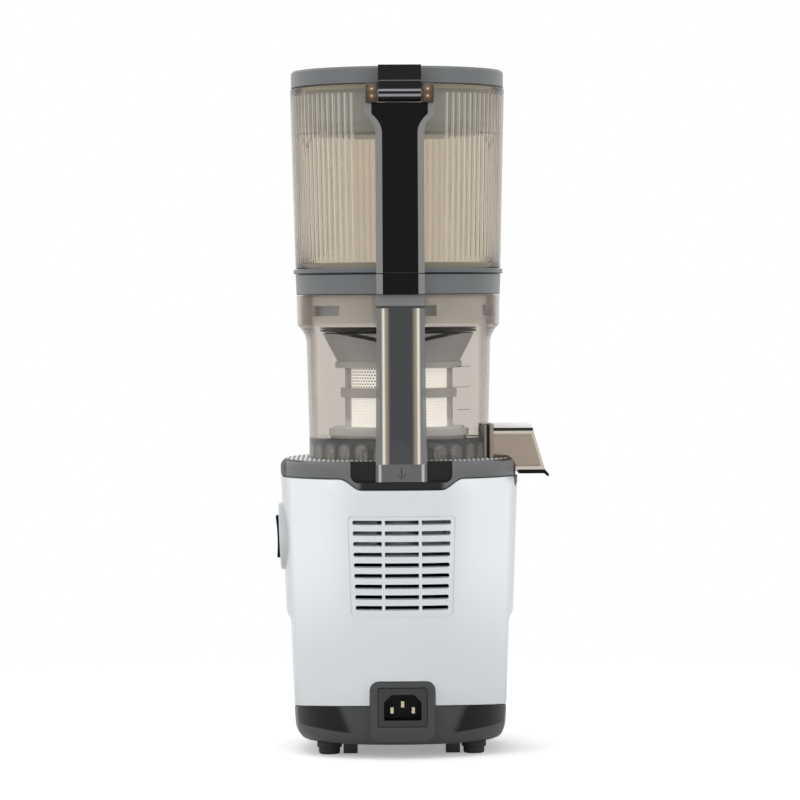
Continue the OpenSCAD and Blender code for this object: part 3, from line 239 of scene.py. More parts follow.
def perforated(name, pitch=2.3, hole=0.62):
    """Perforated sheet that glows with painted light, as if lit from its far side: round holes in staggered rows,
    worked out from the angle and height, painted dark as shade, darker still in the upper field on the switch's side."""
    f = Finish(name)
    x, y, z = f.xyz()
    row_height = pitch * 0.87
    around = math.floor(2 * math.pi * MESH_R / pitch)
    u = f.math("ARCTAN2", y, x) * (around / (2 * math.pi))
    row = z / row_height
    stagger = f.math("MODULO", f.math("FLOOR", row), 2.0) * 0.5
    du = (f.math("FRACT", u + stagger) - 0.5) * pitch
    dv = (f.math("FRACT", row) - 0.5) * row_height
    solid = f.above(f.reach(du, dv), hole, 0.24)
    sheet = f.blend(f.noise(9), linear(240, 238, 234), linear(252, 251, 248))
    # Painted shade in the holes, darker still in the upper field on the switch's side.
    dark = (1.0 - solid) * (0.14 + f.above(x, 9.0, 0.5) * f.above(z, 241.0, 0.5) * 0.8)
    sheet = f.blend(dark, sheet, linear(50, 47, 43))
    # The sheet glows through emission: painted light from its far side.
    return f.done(f.shader(sheet, 0.5 - solid * 0.1, f.bump(solid, 0.12),
                           Emission_Color=sheet, Emission_Strength=0.62))


def textured_deck(name, rgb):
    """Dark moulding: grip ribs 3.1 mm apart on its flat top, painted pale as highlights, black ends, and glossy
    near-black painted shade in the notch and on the strip below it."""
    f = Finish(name)
    x, y, z = f.xyz()
    ax, slow, fine = f.size(x), f.noise(30), f.noise(0.5, 3)
    wave = f.math("SINE", (x - y * 0.01) * 2.03)
    ribs = f.math("GREATER_THAN", wave, -0.1) * f.band(z, DECK_TOP - 0.2, DECK_TOP + 3.5, 0.2)
    # Painted shade: mask of the notch and the strip below it, which are coloured near black and glossier.
    across = f.math("MAXIMUM", ax - (NOTCH_HALF - NOTCH_ROUND), 0.0)
    under = f.math("MAXIMUM", (NOTCH_FLOOR + NOTCH_ROUND) - z, 0.0)
    inside = f.below(f.reach(across, under), NOTCH_ROUND + 0.4, 0.2)
    strip = f.below(ax, 27.5, 5.0) * f.below(z, RIM, 0.3)
    notch_shade = f.math("MAXIMUM", inside, strip) * f.above(y, 55.0, 2.0) * f.below(z, DECK_TOP - 0.3, 0.2)
    ends = f.above(ax, 75.6, 0.6) * f.below(z, DECK_TOP - 0.5, 0.3)
    line = f.band(z, DECK_TOP - 1.2, DECK_TOP - 0.25, 0.3) * f.above(ax, 64.0, 8.0)
    # Painted highlight pales the grip ribs; painted shade blackens the notch and the strip below it.
    colour = f.blend(ribs, f.toned(slow, rgb, 0.94, 1.07), linear(226, 227, 227))
    colour = f.blend(f.math("MAXIMUM", notch_shade, f.math("MAXIMUM", ends, line)), colour, linear(20, 20, 21))
    roughness = 0.42 + (fine - 0.5) * 0.15 - notch_shade * 0.22
    return f.done(f.shader(colour, roughness, f.bump(fine + ribs * 3.0, 0.03), Specular_IOR_Level=0.3))


def seamed(name, rgb, lines, outside=0.0):
    """Satin moulding with thin black joint lines at those heights, darker grey beyond the outside radius where one is
    given."""
    f = Finish(name)
    x, y, z = f.xyz()
    slow, fine = f.noise(34), f.noise(0.6, 3)
    colour = f.toned(slow, rgb, 0.93, 1.06)
    if outside:
        colour = f.blend(f.above(f.reach(x, y), outside, 0.3), colour, linear(104, 108, 111))
    for low, high in lines:
        colour = f.blend(f.band(z, low, high, 0.18), colour, linear(22, 22, 24))
    return f.done(f.shader(colour, 0.34 + (fine - 0.5) * 0.12, f.bump(fine, 0.008), Specular_IOR_Level=0.4))


def strap_black():
    """Black gloss strap with painted highlights: a thin pale line below the lid's rim and two pale strips round the
    hinge barrel.
    """
    f = Finish("strap_black")
    x, y, z = f.xyz()
    inside = f.below(f.size(x), 13.9, 0.2) * f.above(y, 78.0, 0.6)
    # Painted highlights: a thin line below the lid's rim and two strips round the hinge barrel.
    painted_highlights = f.band(z, 443.3, 443.9, 0.2) * 0.45 + f.band(z, 436.6, 438.0, 0.3) + f.band(z, 433.2, 434.8, 0.3)
    fine = f.noise(1.2, 2)
    colour = f.blend(painted_highlights * inside, linear(14, 14, 15), linear(150, 153, 156))
    return f.done(f.shader(colour, 0.2 + fine * 0.06, f.bump(fine, 0.004), Specular_IOR_Level=0.2))


def brown_ears():
    """Smoky brown hinge ears, paler round the two screw points in each: a painted highlight with a bright painted glint
    at its centre.
    """
    f = Finish("brown_ears")
    x, _, z = f.xyz()
    dx = f.size(x) - 18.2
    # Painted highlights: a paler patch round each point and a bright glint at its centre.
    near = f.math("MINIMUM", *[f.reach(dx, z - height) for height in (438.2, 433.6)])
    fine = f.noise(2.0, 2)
    colour = f.blend(f.below(near, 2.6, 2.4), linear(70, 50, 40), linear(122, 92, 62))
    colour = f.blend(f.below(near, 0.75, 0.3), colour, linear(235, 225, 205))
    return f.done(f.shader(colour, 0.18 + fine * 0.08, f.bump(fine, 0.02), Transmission_Weight=0.25, IOR=1.47))


def strainer_grey():
    """Mid grey basket moulding: darker up the funnel, pale at the foot ring, with a black V line round the top of the
    funnel's rear, painted shade of the gap where the black flight shows."""
    f = Finish("strainer_grey")
    x, y, z = f.xyz()
    slow, fine = f.noise(30), f.noise(0.6, 3)
    colour = f.blend(slow, linear(194, 197, 199), linear(206, 208, 209))
    colour = f.blend(f.above(z, 262.0, 16.0), colour, linear(182, 186, 190))
    colour = f.blend(f.below(z, 221.0, 3.0) * 0.75, colour, linear(238, 243, 248))
    # Painted shade: a black V line where a gap shows the black flight.
    v = z - 281.0 + (50.0 - f.size(x)) * 0.212
    colour = f.blend(f.band(v, -0.2, 2.6, 0.4) * f.above(y, 6.0, 3.0), colour, linear(16, 16, 17))
    return f.done(f.shader(colour, 0.45 + (fine - 0.5) * 0.14, f.bump(fine, 0.01), Specular_IOR_Level=0.3))


def plate_painted_reflection():
    """Cover plate whose top is painted pale as a reflection of the white surroundings, and whose underside and lower
    edge are black.
    """
    f = Finish("plate_painted_reflection")
    z, fine = f.xyz()[2], f.noise(0.8, 3)
    # Painted reflection: the top is pale; below it the plate is black.
    colour = f.blend(f.above(z, 215.4, 0.25), linear(16, 16, 17), linear(252, 252, 253))
    return f.done(f.shader(colour, 0.28 + fine * 0.1, f.bump(fine, 0.006), Specular_IOR_Level=0.4))


def column_shade(f, ax, y, z):
    """Colour of the bowl's thick column, with the light and shade of its refraction painted in: a dark core between two
    cream bands of painted light and grey outer edges, a dark line under the collar, and a grey foot with an arrow that
    points down."""
    # Painted light and shade of refraction in the thick wall: a dark core, cream bands and grey edges.
    lit = f.band(z, 187.0, 296.0, 1.2)
    shade = f.blend(f.band(ax, -1.0, 8.6, 3.2) * lit, linear(120, 121, 121), linear(58, 60, 61))
    shade = f.blend(f.band(ax, 8.4, 12.0, 3.0) * lit * 0.75, shade, linear(168, 152, 130))
    shade = f.blend(f.band(ax, 10.6, 12.2, 1.4) * lit, shade, linear(246, 240, 226))
    shade = f.blend(f.band(z, 295.6, 297.2, 0.5), shade, linear(58, 59, 60))
    shade = f.blend(f.band(z, 297.4, 320.0, 0.6), shade, linear(132, 132, 130))
    foot = f.below(z, 193.6, 0.5)
    shade = f.blend(foot, shade, linear(96, 98, 100))
    shade = f.blend(foot * f.band(ax, 13.2, 15.0, 0.5), shade, linear(190, 191, 190))
    tip, half_line = 184.2, 0.45
    shaft = f.below(ax, half_line, 0.15) * f.band(z, tip + 1.2, tip + 7.4, 0.15)
    head = f.below(f.size(ax - (z - tip)), half_line, 0.15) * f.band(z, tip, tip + 3.0, 0.1) * f.above(y, 76.0, 0.2)
    return f.blend(f.math("MAXIMUM", shaft, head) * foot, shade, linear(44, 45, 46))


def skirt_shade(f, x, y, z):
    """Mask of the skirt's round-topped windows, and its colour of painted light and shade: paler in windows, dark along
    the floor.
    """
    pitch, half_window, spring = 13.4, 4.6, 201.0
    along = (f.math("FRACT", f.math("ARCTAN2", y, x) * (WINDOWS / (2 * math.pi)) + 0.5) - 0.5) * pitch
    window = f.below(f.reach(along, f.math("MAXIMUM", z - spring, 0.0)), half_window, 0.8)
    # Painted light and shade: paler in the windows, darker round them and along the floor.
    shade = f.blend(window, linear(88, 89, 90), linear(146, 143, 138))
    return window, f.blend(f.band(z, 208.3, 209.8, 0.4), shade, linear(82, 82, 82))


def smoky_bowl():
    """Smoky clear wall, with painted shade that darkens its two sides, and three graduation lines on the chute's side.
    The column and the skirt below the floor are thick and frosted, with the light and shade of their refraction painted
    in."""
    f = Finish("smoky_bowl")
    x, y, z = f.xyz()
    ax, slow, flow = f.size(x), f.noise(26), f.noise(3.5, 2)
    lines = f.band(z, 256.6, 257.2, 0.15) + f.band(z, 243.1, 243.7, 0.15) + f.band(z, 228.0, 228.6, 0.15)
    lines = lines * f.band(x, -46.0, -37.5, 0.2) * f.above(y, 20.0, 1.0)
    colour = f.blend(lines * 0.5, f.toned(slow, (224, 220, 215), 0.985, 1.015), linear(70, 68, 66))
    # Painted shade: darker where the wall turns away at the two sides.
    colour = f.blend(f.above(ax, 57.2, 2.5) * 0.8, colour, linear(158, 147, 137))
    glass = f.shader(colour, 0.03 + flow * 0.02, f.bump(flow, 0.002), IOR=1.25, Transmission_Weight=0.99,
                     Specular_Tint=(0.3, 0.3, 0.3, 1))
    # The column and the skirt take painted light and shade in place of refraction through their thick walls.
    column = f.shader(column_shade(f, ax, y, z), 0.3 + flow * 0.06, f.bump(flow, 0.01), Specular_IOR_Level=0.4)
    window, shade = skirt_shade(f, x, y, z)
    skirt = f.shader(shade, 0.34 + flow * 0.06, f.bump(window, 0.3), Specular_IOR_Level=0.3)
    wall = f.mixed(f.below(z, 209.3, 0.5) * (0.62 + window * -0.2), glass, skirt)
    wall = f.mixed(f.above(y, 66.0, 2.0) * f.below(ax, 19.0, 0.5) * 0.9, wall, column)
    return f.done_clear(wall, (236, 232, 226))


def pan_dark():
    """Gloss charcoal pan with painted light and shade: near black at the four shoulders, greyer across the middle of
    each long side and under the shoulders."""
    f = Finish("pan_dark")
    x, _, z = f.xyz()
    ax, slow, fine = f.size(x), f.noise(30), f.noise(1.2, 3)
    # Painted shade: near black at the four shoulders.
    shoulder_shade = f.above(ax - (z - 16.0) * 0.42, 34.0, 6.0) * f.above(z - ax * 0.1, 13.2, 1.2)
    colour = f.blend(slow, linear(64, 65, 66), linear(72, 73, 73))
    colour = f.blend(shoulder_shade, colour, linear(9, 9, 10))
    return f.done(f.shader(colour, 0.26 + (fine - 0.5) * 0.08, f.bump(fine, 0.005), Specular_IOR_Level=0.25))


def ribbed_clear():
    """Smoky clear hopper wall. Each rib carries a painted highlight along its crest on the near side and shows as a
    painted darker line on the far side; none within 25 degrees of the spine; painted shade darkens the two side walls;
    a thin line and a small triangle mark the fill height on both sides."""
    f = Finish("smoky_hopper")
    x, y, z = f.xyz()
    slow, ax = f.noise(30), f.size(x)
    wave = f.math("COSINE", f.math("ARCTAN2", y, x) * float(RIBS))
    ribs = f.band(z, 326.5, RIBS_TOP, 0.5)
    off_spine = f.above(ax - y * math.tan(math.radians(25)), 0.0, 0.5)
    # Painted shade on the far ribs and a painted highlight on the near crests.
    far = f.above(wave, 0.55, 0.5) * ribs * f.below(y, -4.0, 8.0)
    near = f.above(wave, 0.7, 0.35) * ribs * off_spine * f.above(y, 4.0, 8.0)
    tip = 402.0
    level = f.band(z, tip + 9.0, tip + 9.6, 0.2) * f.above(ax, 52.0, 0.4)
    triangle = f.below(f.size(f.size(ax - 60.0) - (z - tip) * 0.45), 0.35, 0.15) * f.band(z, tip, tip + 6.6, 0.1)
    colour = f.blend(far * 0.5, f.toned(slow, (220, 213, 201), 0.985, 1.015), linear(184, 170, 148))
    # Painted shade where the wall turns away at the two sides.
    colour = f.blend(f.above(ax, 64.5, 3.0) * 0.8, colour, linear(160, 148, 136))
    colour = f.blend(f.math("MAXIMUM", level, triangle) * f.above(y, 4.0, 1.0) * 0.75, colour, linear(66, 62, 58))
    glass = f.shader(colour, 0.03 + slow * 0.02, f.bump(slow, 0.02), IOR=1.3, Transmission_Weight=0.97,
                     Specular_Tint=(0.4, 0.4, 0.4, 1))
    # A pale shader mixed in on the near crests: painted highlight.
    crest = f.shader(linear(238, 236, 230), 0.3 + slow * 0.05, f.bump(slow, 0.02), Specular_IOR_Level=0.3)
    return f.done_clear(f.mixed(near * 0.4, glass, crest), (232, 226, 216))


def seal_two_tone():
    """Chute gasket: taupe, with a black ring 2.3 mm wide that starts 2.4 mm from its edge at the chute."""
    f = Finish("gasket_two_tone")
    x, fine = f.xyz()[0], f.noise(0.7, 3)
    edge = float(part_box("chute_seal")[0].x * MM - AXIS[0])
    colour = f.blend(f.band(x, edge + 2.4, edge + 4.7, 0.2), linear(172, 161, 149), linear(18, 18, 18))
    return f.done(f.shader(colour, 0.7 + (fine - 0.5) * 0.2, f.bump(fine, 0.02), Specular_IOR_Level=0.3))


def inlet_black():
    """Inlet: charcoal face, painted black inside the socket as shade of its recess."""
    f = Finish("inlet_black")
    y, fine = f.xyz()[1], f.noise(0.6, 3)
    # Painted shade: black inside the socket.
    colour = f.blend(f.above(y, 71.0, 0.2), linear(9, 9, 9), linear(60, 60, 60))
    return f.done(f.shader(colour, 0.4 + (fine - 0.5) * 0.14, f.bump(fine, 0.01), Specular_IOR_Level=0.2))


GREY = seamed("grey_satin", (112, 115, 117), [(304.4, 305.2), (317.8, 318.9), (442.5, 443.2)])
FLOOR_GREY = seamed("floor_grey", (178, 184, 190), [(318.2, 319.2)], outside=67.4)
LIGHT_GREY = seamed("light_grey_satin", (134, 134, 133), [(304.4, 304.9), (317.9, 318.6)])
GLOSS_BLACK = moulded("black_gloss", (9, 9, 10), 0.16, grain=1.4, depth=0.004, Specular_IOR_Level=0.12)
STRAP = strap_black()
SATIN_BLACK = moulded("black_satin", (18, 18, 19), 0.38, Specular_IOR_Level=0.2)
INLET = inlet_black()
PAN_DARK = pan_dark()
DECK = textured_deck("deck_dark", (108, 109, 110))
SILVER = painted("silver_paint", (214, 218, 221))
BOWL = smoky_bowl()
HOPPER = ribbed_clear()
CHUTE = clear("smoky_chute", (203, 194, 184), (222, 214, 204))
CUP = clear("grey_cup", (224, 234, 244), (214, 217, 216), rough=0.25, body=0.5)
SPIGOT = clear("grey_spigot", (244, 243, 240), (226, 225, 221), rough=0.1, body=0.5)
SMOKED_BROWN = brown_ears()
STRAINER = strainer_grey()
PLATE = plate_painted_reflection()
AUGER = moulded("auger_black", (16, 16, 17), 0.3, Specular_IOR_Level=0.2)
SHEET = perforated("steel_sheet")
RUBBER = rubbery("rubber_dark", (30, 30, 31))
GASKET = seal_two_tone()
CAN = moulded("can_dark", (14, 14, 15), 0.5, Specular_IOR_Level=0.15)
FOOT = rubbery("foot_grey", (44, 45, 46))
SILICONE = rubbery("silicone_pale", (196, 196, 190))
STEEL = metal("bright_steel", (205, 206, 208))
CAST = metal("cast_aluminium", (168, 170, 173), 0.45, (1.2, 1.2, 1.2))
BRASS = metal("plated_pins", (206, 196, 170), 0.25, (0.3, 6.0, 0.3))
BRONZE = metal("bronze_bush", (176, 128, 72), 0.4)
COPPER = metal("copper_winding", (168, 92, 54), 0.4, (6.0, 6.0, 0.35))
GEAR = moulded("nylon_gear", (226, 222, 208), 0.5)
BOARD = moulded("circuit_board", (34, 84, 52), 0.4, grain=2.4, depth=0.05)

for finish, names in {
    GREY: ["collar_ring", "lid_ring"], FLOOR_GREY: ["hopper_floor"], LIGHT_GREY: ["spine_frame"],
    PLATE: ["chute_cover"], STRAP: ["lid_strap"], INLET: ["inlet_body"], PAN_DARK: ["base_pan"],
    GLOSS_BLACK: ["spine_cover", "collar_cover", "rocker", "chute_lip"],
    SATIN_BLACK: ["switch_body", "spout_cap", "interlock_switch", "interlock_rod", "spine_rod", "cooling_fan"],
    DECK: ["deck_cover"], SILVER: ["base_shell", "switch_bezel"], BOWL: ["bowl"], HOPPER: ["hopper_tube"],
    CHUTE: ["pulp_chute"], CUP: ["lid_cup"], SPIGOT: ["hopper_spigot"], SMOKED_BROWN: ["hinge_ears"],
    STRAINER: ["strainer_frame"], AUGER: ["auger"], SHEET: ["strainer_mesh"], FOOT: ["rubber_feet"],
    GASKET: ["chute_seal"], CAN: ["motor_can"], RUBBER: ["shaft_seal"], SILICONE: ["bowl_seal", "lid_seal"],
    STEEL: ["pan_screws", "rotor", "idler_shaft", "drive_shaft", "cap_pin", "hinge_pin"],
    CAST: ["lower_bracket", "upper_bracket", "gear_case", "gear_cover"], BRASS: ["inlet_pins"],
    BRONZE: ["drive_bush"], COPPER: ["stator"], GEAR: ["idler_gear", "output_wheel"], BOARD: ["control_board"],
}.items():
    for name in names:
        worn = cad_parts[name].data.materials
        worn.clear()
        worn.append(finish)


# ---- Shapes ----
def ramp(t):
    """0 below 0, 1 above 1, an S-curve between."""
    u = np.clip(t, 0, 1)
    return u * u * (3 - 2 * u)


def eased(points, radius, steps=4):
    """Closed outline with rounded corners: at each corner a quadratic curve leaves one side and joins the next,
    that radius away, or 0.45 of the side where that is shorter."""
    p = np.asarray(points, float)
    r = np.broadcast_to(np.asarray(radius, float), len(p))[:, None]
    back, on = np.roll(p, 1, 0) - p, np.roll(p, -1, 0) - p
    lb, lo = np.linalg.norm(back, axis=1, keepdims=True), np.linalg.norm(on, axis=1, keepdims=True)
    start, end = p + back / lb * np.minimum(r, 0.45 * lb), p + on / lo * np.minimum(r, 0.45 * lo)
    t = np.linspace(0, 1, steps + 1)[None, :, None]
    curve = (1 - t) ** 2 * start[:, None] + 2 * t * (1 - t) * p[:, None] + t ** 2 * end[:, None]
    return curve.reshape(-1, 2)


def evened(outline, n=200):
    """The closed outline as n points evenly spaced along it."""
    p = np.concatenate([outline, outline[:1]])
    run = np.concatenate([[0], np.cumsum(np.linalg.norm(np.diff(p, axis=0), axis=1))])
    at = np.linspace(0, run[-1], n, endpoint=False)
    return np.stack([np.interp(at, run, p[:, 0]), np.interp(at, run, p[:, 1])], -1)


def skin(rings, looped=False):
    """Quads between consecutive closed rings of equal length. The end rings are capped, or joined where looped."""
    m, n = rings.shape[:2]
    i, j = np.arange(n), np.arange(m if looped else m - 1)[:, None]
    k, up = (i + 1) % n, ((j + 1) % m) * n
    faces = np.stack([j * n + i, j * n + k, up + k, up + i], -1).reshape(-1, 4).tolist()
    if not looped:
        faces += [list(range(n - 1, -1, -1)), list(range((m - 1) * n, m * n))]
    return rings.reshape(-1, 3), faces


def revolve(profile, n=192, centre=(0, 0)):
    """The closed (radius, height) profile carried once round the vertical line through the centre."""
    p, a = np.asarray(profile, float), np.linspace(0, 2 * np.pi, n, endpoint=False)
    rings = np.stack([np.outer(p[:, 0], np.cos(a)) + centre[0], np.outer(p[:, 0], np.sin(a)) + centre[1],
                      np.repeat(p[:, 1:], n, 1)], -1)
    return skin(rings, looped=True)


def drawn_in(outline, d):
    """The outline moved inwards by d along the normal of its neighbours' chord."""
    p = np.asarray(outline, float)
    t = np.roll(p, -1, 0) - np.roll(p, 1, 0)
    t /= np.linalg.norm(t, axis=1, keepdims=True)
    area = np.sum(p[:, 0] * np.roll(p[:, 1], -1) - np.roll(p[:, 0], -1) * p[:, 1])
    return p + np.stack([-t[:, 1], t[:, 0]], -1) * d * np.sign(area)


def placed(outline, level, axis="y"):
    """The outline's (u, v) at that level on the axis: x and z across y, y and z across x, x and y across z."""
    u, v = np.asarray(outline, float).T
    w = np.broadcast_to(level, u.shape)
    return np.stack({"y": (u, w, v), "x": (w, u, v), "z": (u, v, w)}[axis], -1)


def prism(outline, low, high, edge=0.4, axis="y"):
    """The outline carried along an axis, drawn in by the edge on a quarter circle at both ends."""
    q = np.linspace(0, np.pi / 2, 4)
    inset, along = edge * (1 - np.sin(q)), edge * (1 - np.cos(q))
    steps = [*zip(inset, low + along), *zip(inset[::-1], high - along[::-1])]
    return skin(np.stack([placed(drawn_in(outline, d), w, axis) for d, w in steps]))


def box_outline(w, h, r, at=(0, 0), steps=6):
    """Rectangle of that width and height about a point, with corners of that radius."""
    x, y = w / 2, h / 2
    return eased([[-x, -y], [x, -y], [x, y], [-x, y]], r, steps) + np.array(at)


def linked(name, mesh):
    o = bpy.data.objects.new(name, mesh)
    bpy.context.scene.collection.objects.link(o)
    return o


def tidied(b, flat=0.0):
    """Merges doubles, joins faces that are within that many degrees of flat, and turns the faces outwards."""
    bmesh.ops.remove_doubles(b, verts=b.verts, dist=2e-6)
    bmesh.ops.dissolve_degenerate(b, edges=b.edges, dist=1e-6)
    if flat:
        bmesh.ops.dissolve_limit(b, angle_limit=math.radians(flat), verts=b.verts, edges=b.edges)
    bmesh.ops.recalc_face_normals(b, faces=b.faces)


def made(parts, name="cutter"):
    """One mesh object of the parts, which are (points, faces) in millimetres; doubles merged, faces turned outwards."""
    points, faces, start = [], [], 0
    for p, f in parts:
        points.append(p)
        faces += [[v + start for v in face] for face in f]
        start += len(p)
    mesh = bpy.data.meshes.new(name)
    mesh.from_pydata(((np.concatenate(points) + AXIS) / MM).tolist(), [], faces)
    b = bmesh.new()
    b.from_mesh(mesh)
    tidied(b)
    b.to_mesh(mesh)
    b.free()
    return linked(name, mesh)


def bevelled(o, width, angle):
    """Rounds the edges sharper than the angle over that many millimetres."""
    m = o.modifiers.new("edges", "BEVEL")
    m.width, m.segments, m.limit_method, m.angle_limit = width / MM, 3, "ANGLE", math.radians(angle)
    return m


def finished(o, body, replaces, angle):
    """Shades the piece smooth up to the angle and puts it on its body."""
    o.data.shade_smooth()
    o.data.set_sharp_from_angle(angle=math.radians(angle))
    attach(o, body)
    if replaces:
        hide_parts(*replaces)


def shape(name, parts, finish, body, replaces=(), angle=32, cuts=(), bevel=0.0):
    """A finished piece: parts joined, cutters taken out, edges rounded."""
    o = made(parts, name)
    o.data.materials.append(finish)
    for parts_out in cuts:
        cutter = made(parts_out)
        m = o.modifiers.new("cut", "BOOLEAN")
        m.operation, m.solver, m.object, m.use_self = "DIFFERENCE", "EXACT", cutter, len(parts) > 1
        bpy.context.view_layer.update()
        done = bpy.data.meshes.new_from_object(o.evaluated_get(bpy.context.evaluated_depsgraph_get()))
        o.modifiers.clear()
        o.data = done
        bpy.data.objects.remove(cutter)
    if bevel:
        bevelled(o, bevel, 40).harden_normals = True
    finished(o, body, replaces, angle)


def softened(node, name, width, body):
    """The CAD mesh of a node, merged, with its sharp edges rounded over that many millimetres."""
    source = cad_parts[node]
    mesh = source.data.copy()
    b = bmesh.new()
    b.from_mesh(mesh)
    b.transform(source.matrix_world)
    tidied(b, flat=0.5)
    b.to_mesh(mesh)
    b.free()
    if "custom_normal" in mesh.attributes:
        mesh.attributes.remove(mesh.attributes["custom_normal"])
    o = linked(name, mesh)
    bevelled(o, width, 50)
    finished(o, body, [node], 40)


# ---- Base ----
def base_ring(z, inset=0.0):
    """Ring of the base at height z: a superellipse of power 2.3, wider towards the rim and shallower behind than in
    front, drawn in 2.6 mm at the sides below the grip step at 94 mm."""
    power, front_spread, grip, grip_top = 2.3, 6, 2.6, 94
    a = np.linspace(0, 2 * np.pi, ROUND, endpoint=False)
    level = (np.broadcast_to(z, ROUND) - SEAM) / (RIM - SEAM)
    c, s, e = np.cos(a), np.sin(a), 2 / power
    x = (HALF_WIDTH + SPREAD * level - inset) * np.sign(c) * np.abs(c) ** e
    y = np.where(s >= 0, REAR + SPREAD * level, FRONT + front_spread * level) - inset
    y = y * np.sign(s) * np.abs(s) ** e
    x = x - np.sign(x) * grip * ramp((grip_top - z) / 8) * ramp((30 - y) / 8) * ramp((y + 45) / 8)
    return np.stack([x, y, np.broadcast_to(z, ROUND)], -1)


def seam_ring(rise, inset=0.0):
    """Ring at the seam, which climbs 0.085 mm for each millimetre towards the rear."""
    return base_ring(SEAM + 0.085 * base_ring(SEAM, inset)[:, 1] + rise, inset)


def rim_ring(rise, inset=0.0):
    """Ring at the rim, which dips 7.2 mm under the rear notch and 7 mm under the chute."""
    x, y, _ = base_ring(RIM, inset).T
    rear = np.where(y > 0, 7.2 * (1 - ramp((np.abs(x) - 26.5) / 14)), 0)
    chute = np.where(x < 0, 7.0 * (1 - ramp((np.abs(y) - 23.5) / 5)), 0)
    return base_ring(RIM - np.maximum(rear, chute) + rise, inset)


def rear_wall(outline):
    """Y of the base's rear surface at the outline's (x, z)."""
    x, z = outline.T
    grown = SPREAD * (z - SEAM) / (RIM - SEAM)
    return (REAR + grown) * (1 - np.abs(x / (HALF_WIDTH + grown)) ** 2.3) ** (1 / 2.3)


def at_switch(part):
    """Points given as (outwards, y, up) at the rocker switch, leaned with the side wall."""
    p, faces = part
    x, y, z = np.asarray(p, float).T
    lean, out, height = math.atan(SPREAD / (RIM - SEAM)), 77.945, 143
    c, s = math.cos(lean), math.sin(lean)
    return np.stack([x * c + z * s + out, y, z * c - x * s + height], -1), faces


def turned_out(part):
    """A part made round the vertical axis, laid over so that its height points along X."""
    p, faces = part
    return np.stack([p[:, 2], p[:, 1], -p[:, 0]], -1), faces


def slot(x0, x1, z, ends):
    """Cutter of a vent slot with its two end radii: 3 mm high at the surface, 2.2 mm inside, above a lower lip that
    slopes outwards."""
    radii = np.array([ends[0], ends[1], ends[1], ends[0]])
    wide, top = box_outline(x1 - x0, 3.0, radii, ((x0 + x1) / 2, z)), z + 1.5
    tight = np.stack([wide[:, 0], top + (wide[:, 1] - top) * 0.74], -1)
    return skin(np.stack([placed(tight, 50), placed(tight, rear_wall(wide) - 2.3),
                          placed(wide, rear_wall(wide) - 0.9), placed(wide, 90)]))


# Recessed field of the vents: its floor follows the rear wall 0.8 mm in
field = evened(eased([[-33.3, 93.7], [33.3, 93.7], [35.35, 159.4], [-35.35, 159.4]], 3.5, 6))
middle = np.array([0, 126.5])
shrunk = [middle + (field - middle) * s for s in np.linspace(0.001, 1, 14)]
grown_field = middle + (field - middle) * 1.012
recess = [placed(shrunk[0], 92), placed(grown_field, 92), placed(grown_field, rear_wall(grown_field) + 0.4)]
recess += [placed(s, rear_wall(s) - 0.8) for s in shrunk[::-1]]
slots = []
for row in range(9):
    half, height = (64.8 - row / 2) / 2, 155.3 - 7 * row
    slots += [slot(*across, height, ends) for *across, ends in (
        (-11.1, 11.1, (0.4, 0.4)), (13.1, half, (0.4, 1.5)), (-half, -13.1, (1.5, 0.4)))]

tab = box_outline(42.6, 39.4, 7, (0, 31.1), 8)  # the pan's tab round the mains inlet
switch_seat = turned_out(revolve([[0, -9], [18.6, -9], [18.6, 7], [0, 7]], 64))
wall, heights = 2.8, [47, 62, 76, 84, *np.arange(85.5, 95, 0.75), 100, 112, 126, 140, 154, 166, 173]
shell_rings = [
    seam_ring(0, 0.8), seam_ring(0.25, 0.25), seam_ring(0.9), *[base_ring(z) for z in heights],
    rim_ring(-1.2), rim_ring(-0.55, 0.25), rim_ring(-0.3, 0.8), rim_ring(-0.3, wall),
    *[base_ring(z, wall) for z in heights[::-4]], seam_ring(0.1, wall)]
shape("painted_shell", [skin(np.stack(shell_rings), looped=True)], SILVER, "base", ["base_shell"], 30, [
    [skin(np.stack(recess))], slots, [prism(drawn_in(tab, -0.4), 55, 92, 0), at_switch(switch_seat)]])

pan_curve = ((8.4, 8.6), (8.6, 6.9), (9.6, 4.5), (10.9, 2.8), (12.6, 1.6), (15, 0.75), (17.4, 0.3))
pan_rings = [
    base_ring(8.4, 30), *[base_ring(z, inset) for z, inset in pan_curve],
    seam_ring(-0.9), seam_ring(-0.5, 0.25), seam_ring(-0.3, 0.8), seam_ring(-0.3, 3.2),
    seam_ring(2.6, 3.2), seam_ring(2.6, 12)]
pocket, throat = box_outline(32.8, 26, 1.5, (0, 33.9), 8), box_outline(27.5, 20.3, 0.6, (0, 33.9), 8)
tab_rings = [
    placed(tab, 59), placed(tab, 71.1), placed(drawn_in(tab, 0.25), 71.75), placed(drawn_in(tab, 0.9), 72),
    placed(drawn_in(pocket, -0.5), 72), placed(pocket, 71.6), placed(pocket, 69.5),
    placed(throat, 69.5), placed(throat, 60)]
posts = [prism(box_outline(9.4, 8, 0.8, (x, 34)), 0.3, 10, 0.6, "z") for x in (-34, 34)]
rib = prism(box_outline(11.6, 2, 0.5, (20.2, 41)), 6.8, 10, 0.4, "z")
shape("inlet_surround", [skin(np.stack(tab_rings), looped=True)], PAN_DARK, "base")
shape("pan_moulding", [skin(np.stack(pan_rings)), *posts, rib], PAN_DARK, "base", ["base_pan"], 32,
      [[prism(drawn_in(tab, 2.2), 50, 90, 0)]])

